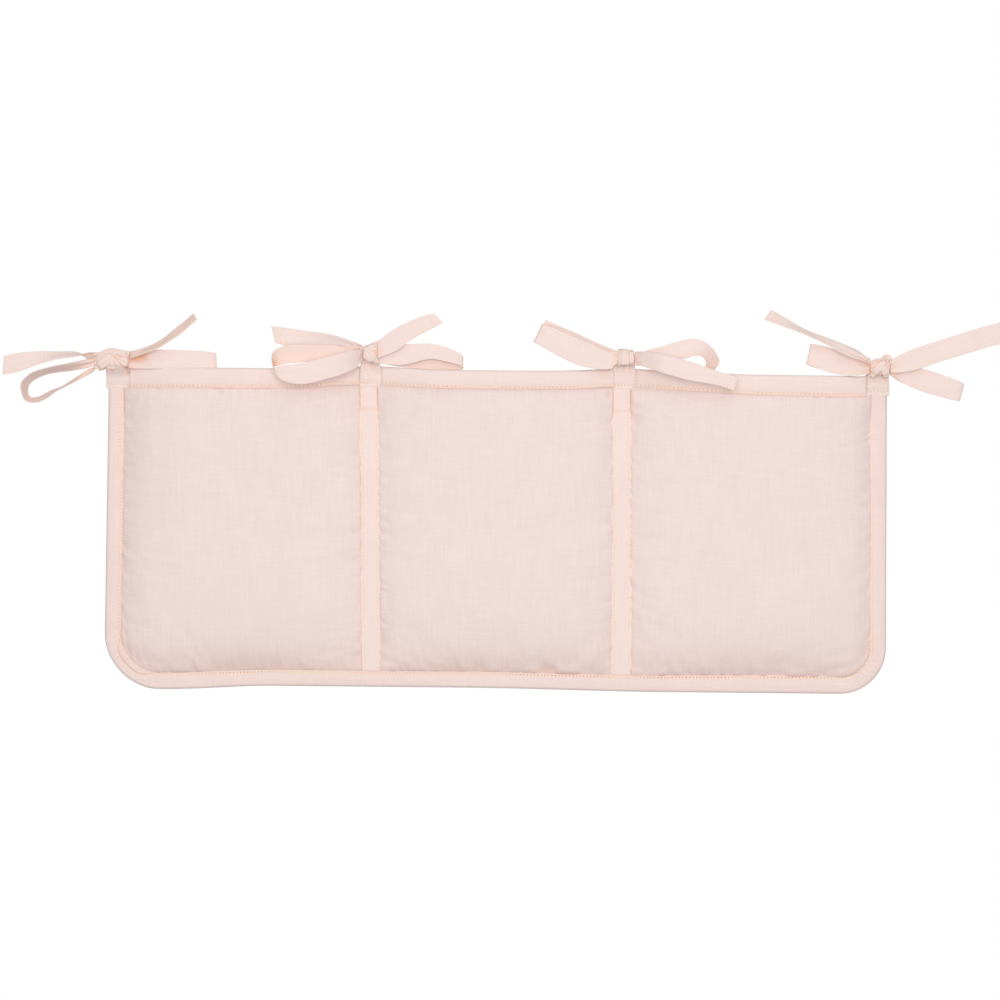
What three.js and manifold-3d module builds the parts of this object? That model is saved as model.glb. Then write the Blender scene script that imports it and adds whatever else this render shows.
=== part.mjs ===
// A padded cotton caddy with three pockets, hung from a bed rail by four ribbon bows.
// Millimetres. X runs along the rail, Y points at the rail and Z up. The origin is the middle of the
// top edge, on the back of the panel. Depth is measured forward from that back, so Y = -depth.
import * as THREE from 'three';
import Module from 'manifold-3d';
import { mergeVertices } from 'three/addons/utils/BufferGeometryUtils.js';

const wasm = await Module();
wasm.setup();

// Panel
const panelWidth = 600;
const panelHeight = 246;
const leftCornerRadius = 42;
const rightCornerRadius = 36;

// Cloth, wadding and the air between two layers
const clothThickness = 0.5;
const foldThickness = 0.8;
const clearance = 0.3;
const rearBattingThickness = 3;
const pressedMarginThickness = 2;

// Folded strips
const bindingWidth = 12.5;
const mouthBandHeight = 14;
const foldChamfer = 1.2;
const foldInset = 2;
const tapeWidth = 13;

// Pocket fronts: how thick they are quilted, how far they stand off the rear panel
const seamBattingThickness = 1;
const mouthBattingThickness = 1.8;
const puffBattingThickness = 5;
const puffReach = 24;
const mouthLift = 11;
const bellyLift = 7.5;
const liftReach = 60;
const mouthReliefReach = 24;
const notchSlant = 0.5;

// Rear panel: where its cover rises out of the binding
const pinchReach = 14;

// Threads
const threadThickness = 0.4;
const threadWidth = 0.5;
const seamInset = 1.3;

// Tie tabs, knots and ribbons
const tabWidth = 17;
const tabHeight = 15;
const tabThickness = 1.2;
const neckWidth = 8;
const tackInset = 2.4;
const tackWidth = 13;
const ribbonWidth = 13.5;
const ribbonThickness = 0.6;
const knotWidth = 14;
const knotHeight = 15;
const knotDepth = 12;
const knotRise = 10;
const armReach = 65;

// Depths of the sewn stack, from the back forward
const rearPinchDepth = foldThickness + clearance;
const rearBattingBack = clothThickness + clearance;
const rearBattingFront = rearBattingBack + rearBattingThickness;
const rearLiningBack = rearBattingFront + clearance;
const rearLiningFront = rearLiningBack + clothThickness;
const marginBack = rearLiningFront + clearance;
const marginFront = marginBack + pressedMarginThickness;
const bindingFront = marginFront + clearance + foldThickness;
const rearBandFront = marginBack + foldThickness;
const mouthStackBack = rearBandFront + clearance;
const pocketMouthRise = mouthStackBack + foldThickness + clearance - marginBack;
const layersOfPocket = 2 * clothThickness + 2 * clearance;
const mouthStackFront =
  marginBack + pocketMouthRise + layersOfPocket + mouthBattingThickness + clearance + foldThickness;
const tabBack = mouthStackFront + clearance;
const tabFront = tabBack + tabThickness;
const knotMiddle = tabFront + clearance + knotDepth / 2;

// Places along the rail
const halfWidth = panelWidth / 2;
const pocketWidth = (panelWidth - 2 * bindingWidth - 2 * tapeWidth) / 3;
const dividerPlace = pocketWidth / 2 + tapeWidth / 2;
const endTabPlace = halfWidth - tabWidth / 2;
const bottomSeam = -panelHeight + bindingWidth;
const belowBand = -mouthBandHeight - clearance;
const belowTab = -tabHeight - clearance;
const endTabOverhang = tabWidth - bindingWidth;
const middleTabOverhang = (tabWidth - tapeWidth) / 2;

// Colours
const cottonColour = 0xf1ded7;
const liningColour = 0xefdad2;
const battingColour = 0xf6f3ee;
const threadColour = 0xf7ece4;
const ribbonColour = 0xf2ddd5;

const cotton = (color) => new THREE.MeshStandardMaterial({ color, roughness: 0.92, metalness: 0 });

const caddy = new THREE.Group();

function add(name, geometry, color) {
  const mesh = new THREE.Mesh(geometry, cotton(color));
  mesh.name = name;
  caddy.add(mesh);
}

// A point from its place along the rail, its height and its depth.
const at = (x, z, depth) => new THREE.Vector3(x, -depth, z);

function signedVolume(positions, index) {
  const corners = [new THREE.Vector3(), new THREE.Vector3(), new THREE.Vector3()];
  let total = 0;
  for (let i = 0; i < index.length; i += 3) {
    corners.forEach((corner, k) => corner.fromArray(positions, 3 * index[i + k]));
    total += corners[0].dot(corners[1].clone().cross(corners[2]));
  }
  return total;
}

// A closed skin over a row of sections. A section has an outer and an inner row of points that face
// each other, with as many points in each.
function loft(sections) {
  const rings = sections.map(({ outer, inner }) => [...outer, ...[...inner].reverse()]);
  const size = rings[0].length;
  const half = size / 2;
  const positions = rings.flat().flatMap((point) => point.toArray());
  const index = [];
  for (let s = 0; s + 1 < rings.length; s += 1) {
    for (let i = 0; i < size; i += 1) {
      const next = (i + 1) % size;
      const a = s * size + i;
      const b = s * size + next;
      const c = (s + 1) * size + next;
      const d = (s + 1) * size + i;
      if (i < half) index.push(a, b, c, a, c, d);
      else index.push(a, b, d, b, c, d);
    }
  }
  const last = (rings.length - 1) * size;
  for (let i = 0; i + 1 < half; i += 1) {
    const far = size - 1 - i;
    index.push(i, far, i + 1, i + 1, far, far - 1);
    index.push(last + i, last + i + 1, last + far, last + i + 1, last + far - 1, last + far);
  }
  if (signedVolume(positions, index) < 0) index.reverse();
  const geometry = new THREE.BufferGeometry();
  geometry.setAttribute('position', new THREE.Float32BufferAttribute(positions, 3));
  geometry.setIndex(index);
  return geometry;
}

function toSolid(geometry) {
  const bare = geometry.clone();
  bare.deleteAttribute('normal');
  bare.deleteAttribute('uv');
  const merged = mergeVertices(bare);
  const vertProperties = new Float32Array(merged.attributes.position.array);
  const triVerts = new Uint32Array(merged.index.array);
  return new wasm.Manifold(new wasm.Mesh({ numProp: 3, vertProperties, triVerts }));
}

function join(geometries) {
  const whole = geometries.map(toSolid).reduce((sum, solid) => sum.add(solid)).getMesh();
  const geometry = new THREE.BufferGeometry();
  geometry.setAttribute('position', new THREE.BufferAttribute(whole.vertProperties, 3));
  geometry.setIndex(new THREE.BufferAttribute(whole.triVerts, 1));
  return geometry;
}

// A block between two places, two heights and two depths.
function block([x0, x1], [z0, z1], [back, front]) {
  const box = new THREE.BoxGeometry(x1 - x0, front - back, z1 - z0);
  return box.translate((x0 + x1) / 2, -(front + back) / 2, (z0 + z1) / 2);
}

// Rises from 0 at a seam to 1 at the reach, steep at first, like a filled quilt.
function puff(distance, reach) {
  const left = 1 - Math.min(Math.max(distance, 0) / reach, 1);
  return 1 - left * left;
}

// The bottom edge, inset from the panel's own, at a distance from the panel's side edge.
function cornerRise(distance, radius, inset) {
  const inner = radius - inset;
  const along = Math.max(radius - distance, 0);
  return inner - Math.sqrt(Math.max(inner * inner - along * along, 0));
}

function bottomAt(x, inset) {
  const left = cornerRise(x + halfWidth, leftCornerRadius, inset);
  const right = cornerRise(halfWidth - x, rightCornerRadius, inset);
  return -panelHeight + inset + Math.max(left, right);
}

// Section of a strip folded over an edge that points up: down the front, over the top, down the back.
function foldedOver(place, front, back, height) {
  const wall = foldThickness;
  const inside = foldChamfer - wall * (2 - Math.SQRT2);
  const outer = [
    place(-height, front),
    place(-foldChamfer, front),
    place(0, front - foldChamfer),
    place(0, back + foldChamfer),
    place(-foldChamfer, back),
    place(-height, back),
  ];
  const inner = [
    place(-height, front - wall),
    place(-wall - inside, front - wall),
    place(-wall, front - wall - inside),
    place(-wall, back + wall + inside),
    place(-wall - inside, back + wall),
    place(-height, back + wall),
  ];
  return { outer, inner };
}

// Rear panel

const rearColumns = (() => {
  const flat = bindingWidth + clearance;
  const near = [foldInset, flat, flat + pinchReach, Math.max(leftCornerRadius, rightCornerRadius)];
  const left = near.map((inset) => -halfWidth + inset);
  const right = near.map((inset) => halfWidth - inset).reverse();
  return [...left, -dividerPlace, 0, dividerPlace, ...right];
})();

// Heights of the rear panel's rows in a column, with whether each row lies flat on the bed side.
function rearRows(x) {
  const inFlat = halfWidth - Math.abs(x) > bindingWidth + pinchReach;
  const low = inFlat ? bottomAt(x, bindingWidth + clearance) : bottomAt(x, foldInset) + bindingWidth;
  const high = belowBand;
  const mid = (high + low) / 2;
  return [
    { z: -foldInset, flat: false },
    { z: high, flat: false },
    { z: high - pinchReach, flat: inFlat },
    { z: mid, flat: inFlat },
    { z: low + pinchReach, flat: inFlat },
    { z: low, flat: false },
    { z: bottomAt(x, foldInset), flat: false },
  ];
}

function rearLayer(backDepth, frontDepth) {
  const sections = rearColumns.map((x) => ({
    outer: rearRows(x).map((row) => at(x, row.z, frontDepth(row))),
    inner: rearRows(x).map((row) => at(x, row.z, backDepth(row))),
  }));
  return loft(sections);
}

const pinch = (row) => (row.flat ? 0 : rearPinchDepth);

function makeRearPanel() {
  add('rear_cover', rearLayer(pinch, (row) => pinch(row) + clothThickness), cottonColour);
  const battingBack = (row) => pinch(row) + rearBattingBack;
  add('rear_batting', rearLayer(battingBack, () => rearBattingFront), battingColour);
  add('rear_lining', rearLayer(() => rearLiningBack, () => rearLiningFront), liningColour);
  const ends = [-halfWidth, -dividerPlace, dividerPlace, halfWidth];
  const sections = ends.map((x) =>
    foldedOver((z, depth) => at(x, z, depth), rearBandFront, 0, mouthBandHeight));
  add('rear_top_binding', loft(sections), cottonColour);
}

// Front panel: its sewn-down margin, in one piece under the edge binding and the two tapes

function cornerArc(path, radius, inset, side, downward) {
  const x = side * (halfWidth - radius);
  const z = -panelHeight + radius;
  const flank = side < 0 ? Math.PI : 2 * Math.PI;
  const foot = (3 * Math.PI) / 2;
  const [start, end] = downward ? [flank, foot] : [foot, flank];
  path.absarc(x, z, radius - inset, start, end, end < start);
}

function marginPlate() {
  const outer = halfWidth - foldInset;
  const inner = halfWidth - bindingWidth;
  const top = belowBand - clearance;
  const shape = new THREE.Shape();
  shape.moveTo(-outer, top);
  cornerArc(shape, leftCornerRadius, foldInset, -1, true);
  cornerArc(shape, rightCornerRadius, foldInset, 1, false);
  shape.lineTo(outer, top);
  shape.lineTo(inner, top);
  cornerArc(shape, rightCornerRadius, bindingWidth, 1, true);
  for (const divider of [dividerPlace, -dividerPlace]) {
    shape.lineTo(divider + tapeWidth / 2, bottomSeam);
    shape.lineTo(divider + tapeWidth / 2, top);
    shape.lineTo(divider - tapeWidth / 2, top);
    shape.lineTo(divider - tapeWidth / 2, bottomSeam);
  }
  cornerArc(shape, leftCornerRadius, bindingWidth, -1, false);
  shape.lineTo(-inner, top);
  shape.closePath();
  const plate = new THREE.ExtrudeGeometry(shape, {
    depth: marginFront - marginBack,
    bevelEnabled: false,
    curveSegments: 5,
  });
  return plate.rotateX(Math.PI / 2).translate(0, -marginBack, 0);
}

// Above the plate the margin thickens, where the ends of the mouth bindings are sewn together.
function mouthStacks() {
  const end = [halfWidth - bindingWidth, halfWidth - foldInset];
  const spans = [
    [-end[1], -end[0]],
    [-dividerPlace - tapeWidth / 2, -dividerPlace + tapeWidth / 2],
    [dividerPlace - tapeWidth / 2, dividerPlace + tapeWidth / 2],
    end,
  ];
  const root = [belowBand - 2 * foldInset, -mouthBandHeight + clearance];
  return spans.flatMap((span) => [
    block(span, root, [mouthStackBack, marginFront]),
    block(span, [-mouthBandHeight, 0], [mouthStackBack, mouthStackFront]),
  ]);
}

// Points along the panel's edge at an inset, from the top left round the bottom to the top right.
function edgeRoute(inset) {
  const corner = (radius, side, start) => {
    const steps = 8;
    const points = [];
    for (let i = 0; i <= steps; i += 1) {
      const turn = start + (Math.PI / 2) * (i / steps);
      const out = new THREE.Vector2(Math.cos(turn), Math.sin(turn));
      points.push({ x: side * (halfWidth - radius), z: -panelHeight + radius, out, radius });
    }
    return points;
  };
  const left = corner(leftCornerRadius, -1, Math.PI);
  const right = corner(rightCornerRadius, 1, (3 * Math.PI) / 2);
  const top = (first, side) => ({ ...first, z: belowBand, out: new THREE.Vector2(side, 0) });
  const route = [top(left[0], -1), ...left, ...right, top(right[0], 1)];
  return route.map(({ x, z, out, radius }) => ({
    x: x + out.x * (radius - inset),
    z: z + out.y * (radius - inset),
    out,
  }));
}

function makeEdgeBinding() {
  const sections = edgeRoute(0).map(({ x, z, out }) =>
    foldedOver((up, depth) => at(x + up * out.x, z + up * out.y, depth), bindingFront, 0, bindingWidth));
  add('edge_binding', loft(sections), cottonColour);
}

// Section of a row of stitching that lies on cloth of a given depth.
function threadSection(place, cloth) {
  const half = threadWidth / 2;
  const under = cloth + clearance;
  const over = under + threadThickness;
  return { outer: [place(half, over), place(-half, over)], inner: [place(half, under), place(-half, under)] };
}

function makeEdgeStitching() {
  const seam = edgeRoute(bindingWidth - seamInset);
  const sections = seam.map(({ x, z, out }) =>
    threadSection((shift, depth) => at(x + shift * out.x, z + shift * out.y, depth), bindingFront));
  add('edge_stitching', loft(sections), threadColour);
}

function makeDivider(side, place) {
  const bottom = bottomSeam + clearance;
  const span = [place - tapeWidth / 2, place + tapeWidth / 2];
  const tape = block(span, [bottom, belowBand], [marginFront + clearance, bindingFront]);
  add(`${side}_divider_tape`, tape, cottonColour);
  for (const [row, shift] of [['left', -1], ['right', 1]]) {
    const x = place + shift * (tapeWidth / 2 - seamInset);
    const ends = [belowTab, bottom + seamInset];
    const sections = ends.map((z) =>
      threadSection((across, depth) => at(x + across, z, depth), bindingFront));
    add(`${side}_divider_stitching_${row}`, loft(sections), threadColour);
  }
}

// Pocket fronts. Their wadding is pressed flat at the seams and under the band, and their front stands
// off the rear panel most at the mouth.

// A pocket's own place, and how far the tie tabs reach over its top corners.
const pockets = [
  { name: 'left_pocket', middle: -2 * dividerPlace, overhangs: [endTabOverhang, middleTabOverhang] },
  { name: 'middle_pocket', middle: 0, overhangs: [middleTabOverhang, middleTabOverhang] },
  { name: 'right_pocket', middle: 2 * dividerPlace, overhangs: [middleTabOverhang, endTabOverhang] },
];
const columnShares = [0.07, 0.17, 0.31];
const rowShares = [0, 0.05, 0.13, 0.3, 0.52, 0.73, 0.88, 0.96, 1];

function pocketShape({ middle, overhangs }) {
  const half = pocketWidth / 2 - clearance;
  const [low, high] = [middle - half, middle + half];
  const [from, to] = [low + overhangs[0], high - overhangs[1]];
  const insets = columnShares.map((share) => share * pocketWidth);
  const mouthColumns = [
    from,
    from + notchSlant,
    ...insets.map((inset) => low + inset),
    middle,
    ...insets.map((inset) => high - inset).reverse(),
    to - notchSlant,
    to,
  ];
  const columns = [low, ...mouthColumns, high];
  const topAt = (x) => (x > from && x < to ? -foldInset : belowTab);
  const bottom = (x) => bottomAt(x, bindingWidth + clearance);
  const belowSeat = belowTab - foldInset;
  const rows = (x) => [topAt(x), ...rowShares.map((share) => belowSeat + share * (bottom(x) - belowSeat))];

  // Shares from 0 at a seam to 1, or from 1 under the band to 0 lower down.
  const fromSides = (x, reach) => puff(Math.min(x - low, high - x), reach);
  const fromBottom = (x, z, reach) => puff(z - bottom(x), reach);
  const underBand = (z) => 1 - Math.min(Math.max(belowSeat - z, 0) / mouthReliefReach, 1);
  const towardMouth = (z) => 1 - Math.min(Math.max(belowSeat - z, 0) / (panelHeight / 2), 1);

  const back = (x, z) => {
    const full = bellyLift + (mouthLift - bellyLift) * towardMouth(z);
    const lift = full * fromSides(x, liftReach) * fromBottom(x, Math.min(z, belowSeat), liftReach);
    return marginBack + pocketMouthRise * underBand(z) + lift;
  };
  const batting = (x, z) => {
    const pressed = seamBattingThickness + (mouthBattingThickness - seamBattingThickness) * underBand(z);
    const fill = fromSides(x, puffReach) * fromBottom(x, z, puffReach) * puff(belowSeat - z, puffReach);
    return pressed + (puffBattingThickness - pressed) * fill;
  };
  return { columns, mouthColumns, rows, back, batting };
}

function makePocket(pocket) {
  const { columns, mouthColumns, rows, back, batting } = pocketShape(pocket);
  const layer = (from, to) => loft(columns.map((x) => ({
    outer: rows(x).map((z) => at(x, z, to(x, z))),
    inner: rows(x).map((z) => at(x, z, from(x, z))),
  })));
  const liningFront = (x, z) => back(x, z) + clothThickness;
  const battingBack = (x, z) => liningFront(x, z) + clearance;
  const battingFront = (x, z) => battingBack(x, z) + batting(x, z);
  const coverBack = (x, z) => battingFront(x, z) + clearance;
  const coverFront = (x, z) => coverBack(x, z) + clothThickness;
  add(`${pocket.name}_lining`, layer(back, liningFront), liningColour);
  add(`${pocket.name}_batting`, layer(battingBack, battingFront), battingColour);
  add(`${pocket.name}_cover`, layer(coverBack, coverFront), cottonColour);

  const bandBack = (x) => back(x, 0) - clearance - foldThickness;
  const bandFront = (x) => coverFront(x, 0) + clearance + foldThickness;
  const band = mouthColumns.map((x) =>
    foldedOver((z, depth) => at(x, z, depth), bandFront(x), bandBack(x), mouthBandHeight));
  add(`${pocket.name}_mouth_binding`, loft(band), cottonColour);
  const seam = -mouthBandHeight + seamInset;
  const stitches = mouthColumns.map((x) =>
    threadSection((shift, depth) => at(x, seam + shift, depth), bandFront(x)));
  add(`${pocket.name}_mouth_stitching`, loft(stitches), threadColour);
}

// Tie tabs: a doubled ribbon over the top edge, with a neck that goes up behind the knot

function makeTab(number, place, knotHeight) {
  const half = tabWidth / 2;
  const span = [place - half, place + half];
  const top = clearance + tabThickness;
  const neck = [place - neckWidth / 2, place + neckWidth / 2];
  const tab = join([
    block(span, [-tabHeight, top], [tabBack, tabFront]),
    block(span, [clearance, top], [clearance, tabFront]),
    block(neck, [-foldInset, knotHeight], [tabBack, tabFront]),
  ]);
  add(`tie_tab_${number}`, tab, ribbonColour);
  const z = -tabHeight + tackInset;
  const ends = [place - tackWidth / 2, place + tackWidth / 2];
  const tack = ends.map((x) => threadSection((shift, depth) => at(x, z + shift, depth), tabFront));
  add(`tie_tab_stitching_${number}`, loft(tack), threadColour);
}

// Knots: a barrel across the rail, drawn in at both sides where the ribbons leave it

const knotPlaceShares = [-1, -0.7, -0.25, 0.25, 0.7, 1];
const knotSizeShares = [0.55, 0.86, 1, 1, 0.86, 0.55];
const knotSteps = 5;

function makeKnot(number, { x, z, width, height }) {
  const sections = knotPlaceShares.map((placeShare, i) => {
    const place = x + placeShare * (width / 2);
    const up = (height / 2) * knotSizeShares[i];
    const out = (knotDepth / 2) * knotSizeShares[i];
    const half = (sign) => Array.from({ length: knotSteps }, (unused, k) => {
      const turn = (Math.PI * (k + 0.5)) / knotSteps;
      return at(place, z + up * Math.cos(turn), knotMiddle + sign * out * Math.sin(turn));
    });
    return { outer: half(1), inner: half(-1) };
  });
  add(`knot_${number}`, loft(sections), ribbonColour);
}

// Ribbon arms. A row of an arm's shares gives, counted in its reach from the knot's side, the place
// and height of its first edge, those of its second edge and the depth of its middle. The last
// number is how much of the width that a front view hides goes into depth, nearer at the first edge.

const stepsPerRow = 2;

function armCurve(shares, column, steps) {
  const points = shares.map((row) => new THREE.Vector3(row[column], 0, 0));
  const curve = new THREE.CatmullRomCurve3(points, false, 'catmullrom', 0.5);
  return Array.from({ length: steps + 1 }, (unused, i) => curve.getPoint(i / steps).x);
}

function makeArm(name, knot, side, { reachShare, shares }) {
  const reach = reachShare * armReach;
  const steps = (shares.length - 1) * stepsPerRow;
  const [firstOut, firstUp, secondOut, secondUp, forward, lean] = shares[0].map((unused, column) =>
    armCurve(shares, column, steps));
  const start = knot.x + side * (knot.width / 2 + clearance);
  const edges = firstOut.map((unused, i) => {
    const first = new THREE.Vector2(start + side * firstOut[i] * reach, knot.z + firstUp[i] * reach);
    const second = new THREE.Vector2(start + side * secondOut[i] * reach, knot.z + secondUp[i] * reach);
    const seen = first.distanceTo(second);
    const hidden = Math.sqrt(Math.max(ribbonWidth * ribbonWidth - seen * seen, 0));
    const depth = knotMiddle + forward[i] * reach;
    const shift = (lean[i] * hidden) / 2;
    return [at(first.x, first.y, depth + shift), at(second.x, second.y, depth - shift)];
  });
  const middles = edges.map(([first, second]) => first.clone().add(second).divideScalar(2));
  const sections = edges.map(([first, second], i) => {
    const before = middles[Math.max(i - 1, 0)];
    const after = middles[Math.min(i + 1, middles.length - 1)];
    const along = after.clone().sub(before);
    const across = second.clone().sub(first);
    const normal = along.cross(across).setLength(ribbonThickness / 2);
    return {
      outer: [first.clone().add(normal), second.clone().add(normal)],
      inner: [first.clone().sub(normal), second.clone().sub(normal)],
    };
  });
  add(name, loft(sections), ribbonColour);
}

// Each bow: its tab's place, its knot's place from there, rise and size as shares, and its arms.
const bows = [
  {
    tab: -endTabPlace,
    knotShares: { along: -0.307, rise: 0.49, width: 1.757, height: 1.18 },
    arms: {
      left_tail: {
        reachShare: 1.112,
        shares: [
          [0, 0.084, 0, 0.023, -0.027, 0],
          [0.08, 0.088, 0.08, 0.0, -0.09, 0.4],
          [0.2, 0.055, 0.22, 0.085, -0.15, 1],
          [0.43, 0.011, 0.43, 0.098, -0.16, 1],
          [0.64, -0.053, 0.64, 0.095, -0.15, 1],
          [0.85, -0.122, 0.85, 0.073, -0.14, 1],
          [1, -0.154, 0.99, 0.037, -0.13, 1],
        ],
      },
      left_loop: {
        reachShare: 0.863,
        shares: [
          [0, 0.014, 0, -0.07, 0.05, 0],
          [0.12, 0.0, 0.13, -0.09, 0.1, 0.5],
          [0.33, -0.034, 0.33, -0.12, 0.15, 1],
          [0.63, -0.093, 0.63, -0.162, 0.15, 1],
          [0.85, -0.164, 0.84, -0.24, 0.15, 1],
          [0.99, -0.29, 0.93, -0.35, 0.15, 1],
          [0.99, -0.45, 0.945, -0.46, 0.15, 1],
          [0.93, -0.568, 0.89, -0.52, 0.15, 1],
          [0.795, -0.596, 0.77, -0.5, 0.15, 1],
          [0.66, -0.549, 0.61, -0.42, 0.15, 1],
          [0.49, -0.432, 0.45, -0.33, 0.15, 1],
          [0.25, -0.28, 0.23, -0.2, 0.13, 0.8],
          [0, -0.15, 0, -0.1, 0.06, 0],
        ],
      },
      right_tail: {
        reachShare: 0.828,
        shares: [
          [0, 0.11, 0, 0.015, 0.035, 0],
          [0.24, 0.171, 0.257, 0.093, 0.13, 0.7],
          [0.4, 0.236, 0.457, 0.16, 0.16, 1],
          [0.54, 0.321, 0.614, 0.26, 0.17, 1],
          [0.67, 0.436, 0.771, 0.364, 0.17, 1],
          [0.83, 0.567, 0.9, 0.479, 0.17, 1],
          [0.94, 0.669, 1, 0.567, 0.17, 1],
        ],
      },
      right_loop: {
        reachShare: 1.035,
        shares: [
          [0, 0.1, 0, -0.02, -0.015, 0],
          [0.2, 0.12, 0.2, -0.055, -0.015, 0],
          [0.55, 0.12, 0.55, -0.058, -0.02, 0],
          [0.85, 0.11, 0.85, -0.058, -0.02, 0],
          [1, 0.1, 1, -0.06, -0.05, 0],
          [0.85, 0.1, 0.85, -0.058, -0.085, 0],
          [0.5, 0.11, 0.5, -0.058, -0.085, 0],
          [0.2, 0.1, 0.2, -0.05, -0.07, 0],
          [0, 0.09, 0, -0.02, -0.05, 0],
        ],
      },
    },
  },
  {
    tab: -dividerPlace,
    knotShares: { along: 0, rise: 1.25, width: 0.821, height: 0.973 },
    arms: {
      left_tail: {
        reachShare: 1.088,
        shares: [
          [0, 0.082, 0, 0.02, -0.03, 0],
          [0.13, 0.13, 0.147, 0.05, -0.09, 0.6],
          [0.26, 0.178, 0.26, 0.082, -0.13, 1],
          [0.42, 0.215, 0.42, 0.098, -0.15, 1],
          [0.62, 0.24, 0.62, 0.098, -0.15, 1],
          [0.8, 0.265, 0.815, 0.082, -0.15, 1],
          [1, 0.288, 0.95, 0.114, -0.15, 1],
        ],
      },
      left_loop: {
        reachShare: 1.035,
        shares: [
          [0, 0.03, 0, -0.08, 0.045, 0],
          [0.06, 0.02, 0.06, -0.17, 0.14, 0],
          [0.2, -0.017, 0.19, -0.25, 0.24, 0],
          [0.4, -0.071, 0.36, -0.3, 0.29, 0],
          [0.65, -0.12, 0.65, -0.35, 0.32, 0],
          [0.86, -0.143, 0.85, -0.33, 0.33, 0],
          [0.97, -0.15, 0.94, -0.27, 0.32, 0],
          [1, -0.05, 0.99, -0.165, 0.28, 0],
          [0.96, 0.03, 0.96, -0.15, 0.22, 0],
          [0.8, 0.07, 0.8, -0.13, 0.15, 0],
          [0.48, 0.08, 0.48, -0.1, 0.06, 0],
          [0.2, 0.06, 0.2, -0.08, 0.02, 0],
          [0, 0.03, 0, -0.06, 0.01, 0],
        ],
      },
      right_tail: {
        reachShare: 0.78,
        shares: [
          [0, 0.17, 0, -0.08, 0.04, 0],
          [0.23, 0.341, 0.295, 0.045, 0.08, 0],
          [0.43, 0.447, 0.485, 0.19, 0.1, 0],
          [0.64, 0.538, 0.71, 0.318, 0.11, 0],
          [0.84, 0.59, 0.97, 0.46, 0.11, 0],
        ],
      },
      right_loop: {
        reachShare: 0.994,
        shares: [
          [0, 0.06, 0, -0.12, -0.015, 0],
          [0.25, 0.1, 0.25, -0.12, -0.015, 0],
          [0.42, 0.107, 0.42, -0.08, -0.015, 0],
          [0.62, 0.113, 0.62, -0.06, -0.015, 0],
          [0.81, 0.07, 0.81, -0.09, -0.02, 0],
          [0.97, 0.0, 0.96, -0.13, -0.03, 0],
          [1, -0.04, 1, -0.165, -0.06, 0],
          [0.9, -0.02, 0.9, -0.17, -0.09, 0],
          [0.57, 0.03, 0.57, -0.17, -0.09, 0],
          [0.25, 0.03, 0.25, -0.15, -0.07, 0],
          [0, 0.03, 0, -0.1, -0.05, 0],
        ],
      },
    },
  },
  {
    tab: dividerPlace,
    knotShares: { along: 0, rise: 1.04, width: 0.907, height: 0.92 },
    arms: {
      left_tail: {
        reachShare: 0.988,
        shares: [
          [0, 0.1, 0, 0.0, -0.03, 0],
          [0.2, 0.235, 0.25, 0.02, -0.04, 0],
          [0.5, 0.37, 0.58, 0.12, -0.05, 0],
          [0.72, 0.46, 0.79, 0.22, -0.05, 0],
          [0.86, 0.52, 0.93, 0.3, -0.05, 0],
        ],
      },
      left_loop: {
        reachShare: 0.988,
        shares: [
          [0, 0.1, 0, -0.05, 0.045, 0],
          [0.11, 0.14, 0.1, -0.12, 0.06, 0],
          [0.31, 0.225, 0.34, -0.09, 0.08, 0],
          [0.52, 0.31, 0.57, 0.0, 0.09, 0],
          [0.73, 0.4, 0.79, 0.11, 0.095, 0],
          [0.86, 0.45, 0.95, 0.2, 0.095, 0],
          [0.9, 0.467, 1, 0.228, 0.068, 0],
          [0.86, 0.462, 0.95, 0.212, 0.04, 0],
          [0.73, 0.43, 0.79, 0.14, 0.035, 0],
          [0.48, 0.33, 0.53, 0.05, 0.025, 0],
          [0.2, 0.2, 0.22, -0.03, 0.015, 0],
          [0, 0.1, 0, -0.03, 0.01, 0],
        ],
      },
      right_tail: {
        reachShare: 1.183,
        shares: [
          [0, 0.06, 0, -0.06, 0.035, 0],
          [0.1, 0.07, 0.09, -0.09, 0.12, 0],
          [0.25, 0.05, 0.22, -0.118, 0.22, 0],
          [0.38, 0.02, 0.34, -0.15, 0.245, 0],
          [0.54, -0.025, 0.49, -0.185, 0.265, 0],
          [0.71, -0.096, 0.65, -0.225, 0.28, 0],
          [0.86, -0.14, 0.81, -0.256, 0.285, 0],
          [1, -0.18, 0.955, -0.3, 0.285, 0],
        ],
      },
      right_loop: {
        reachShare: 0.994,
        shares: [
          [0, 0.05, 0, -0.05, -0.015, 0],
          [0.33, 0.143, 0.345, -0.04, -0.02, 0],
          [0.53, 0.207, 0.57, 0.0, -0.03, 0],
          [0.7, 0.235, 0.7, 0.04, -0.04, 0],
          [0.87, 0.173, 0.8, 0.04, -0.06, 0.5],
          [1, 0.0, 0.86, -0.03, -0.09, 0.8],
          [0.95, -0.12, 0.84, -0.09, -0.12, 0.8],
          [0.78, -0.145, 0.77, -0.08, -0.13, 0.6],
          [0.55, -0.14, 0.55, -0.03, -0.12, 0.3],
          [0.3, -0.125, 0.3, -0.02, -0.09, 0],
          [0, -0.09, 0, -0.02, -0.05, 0],
        ],
      },
    },
  },
  {
    tab: endTabPlace,
    knotShares: { along: 0.057, rise: 0.59, width: 1.1, height: 0.973 },
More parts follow.
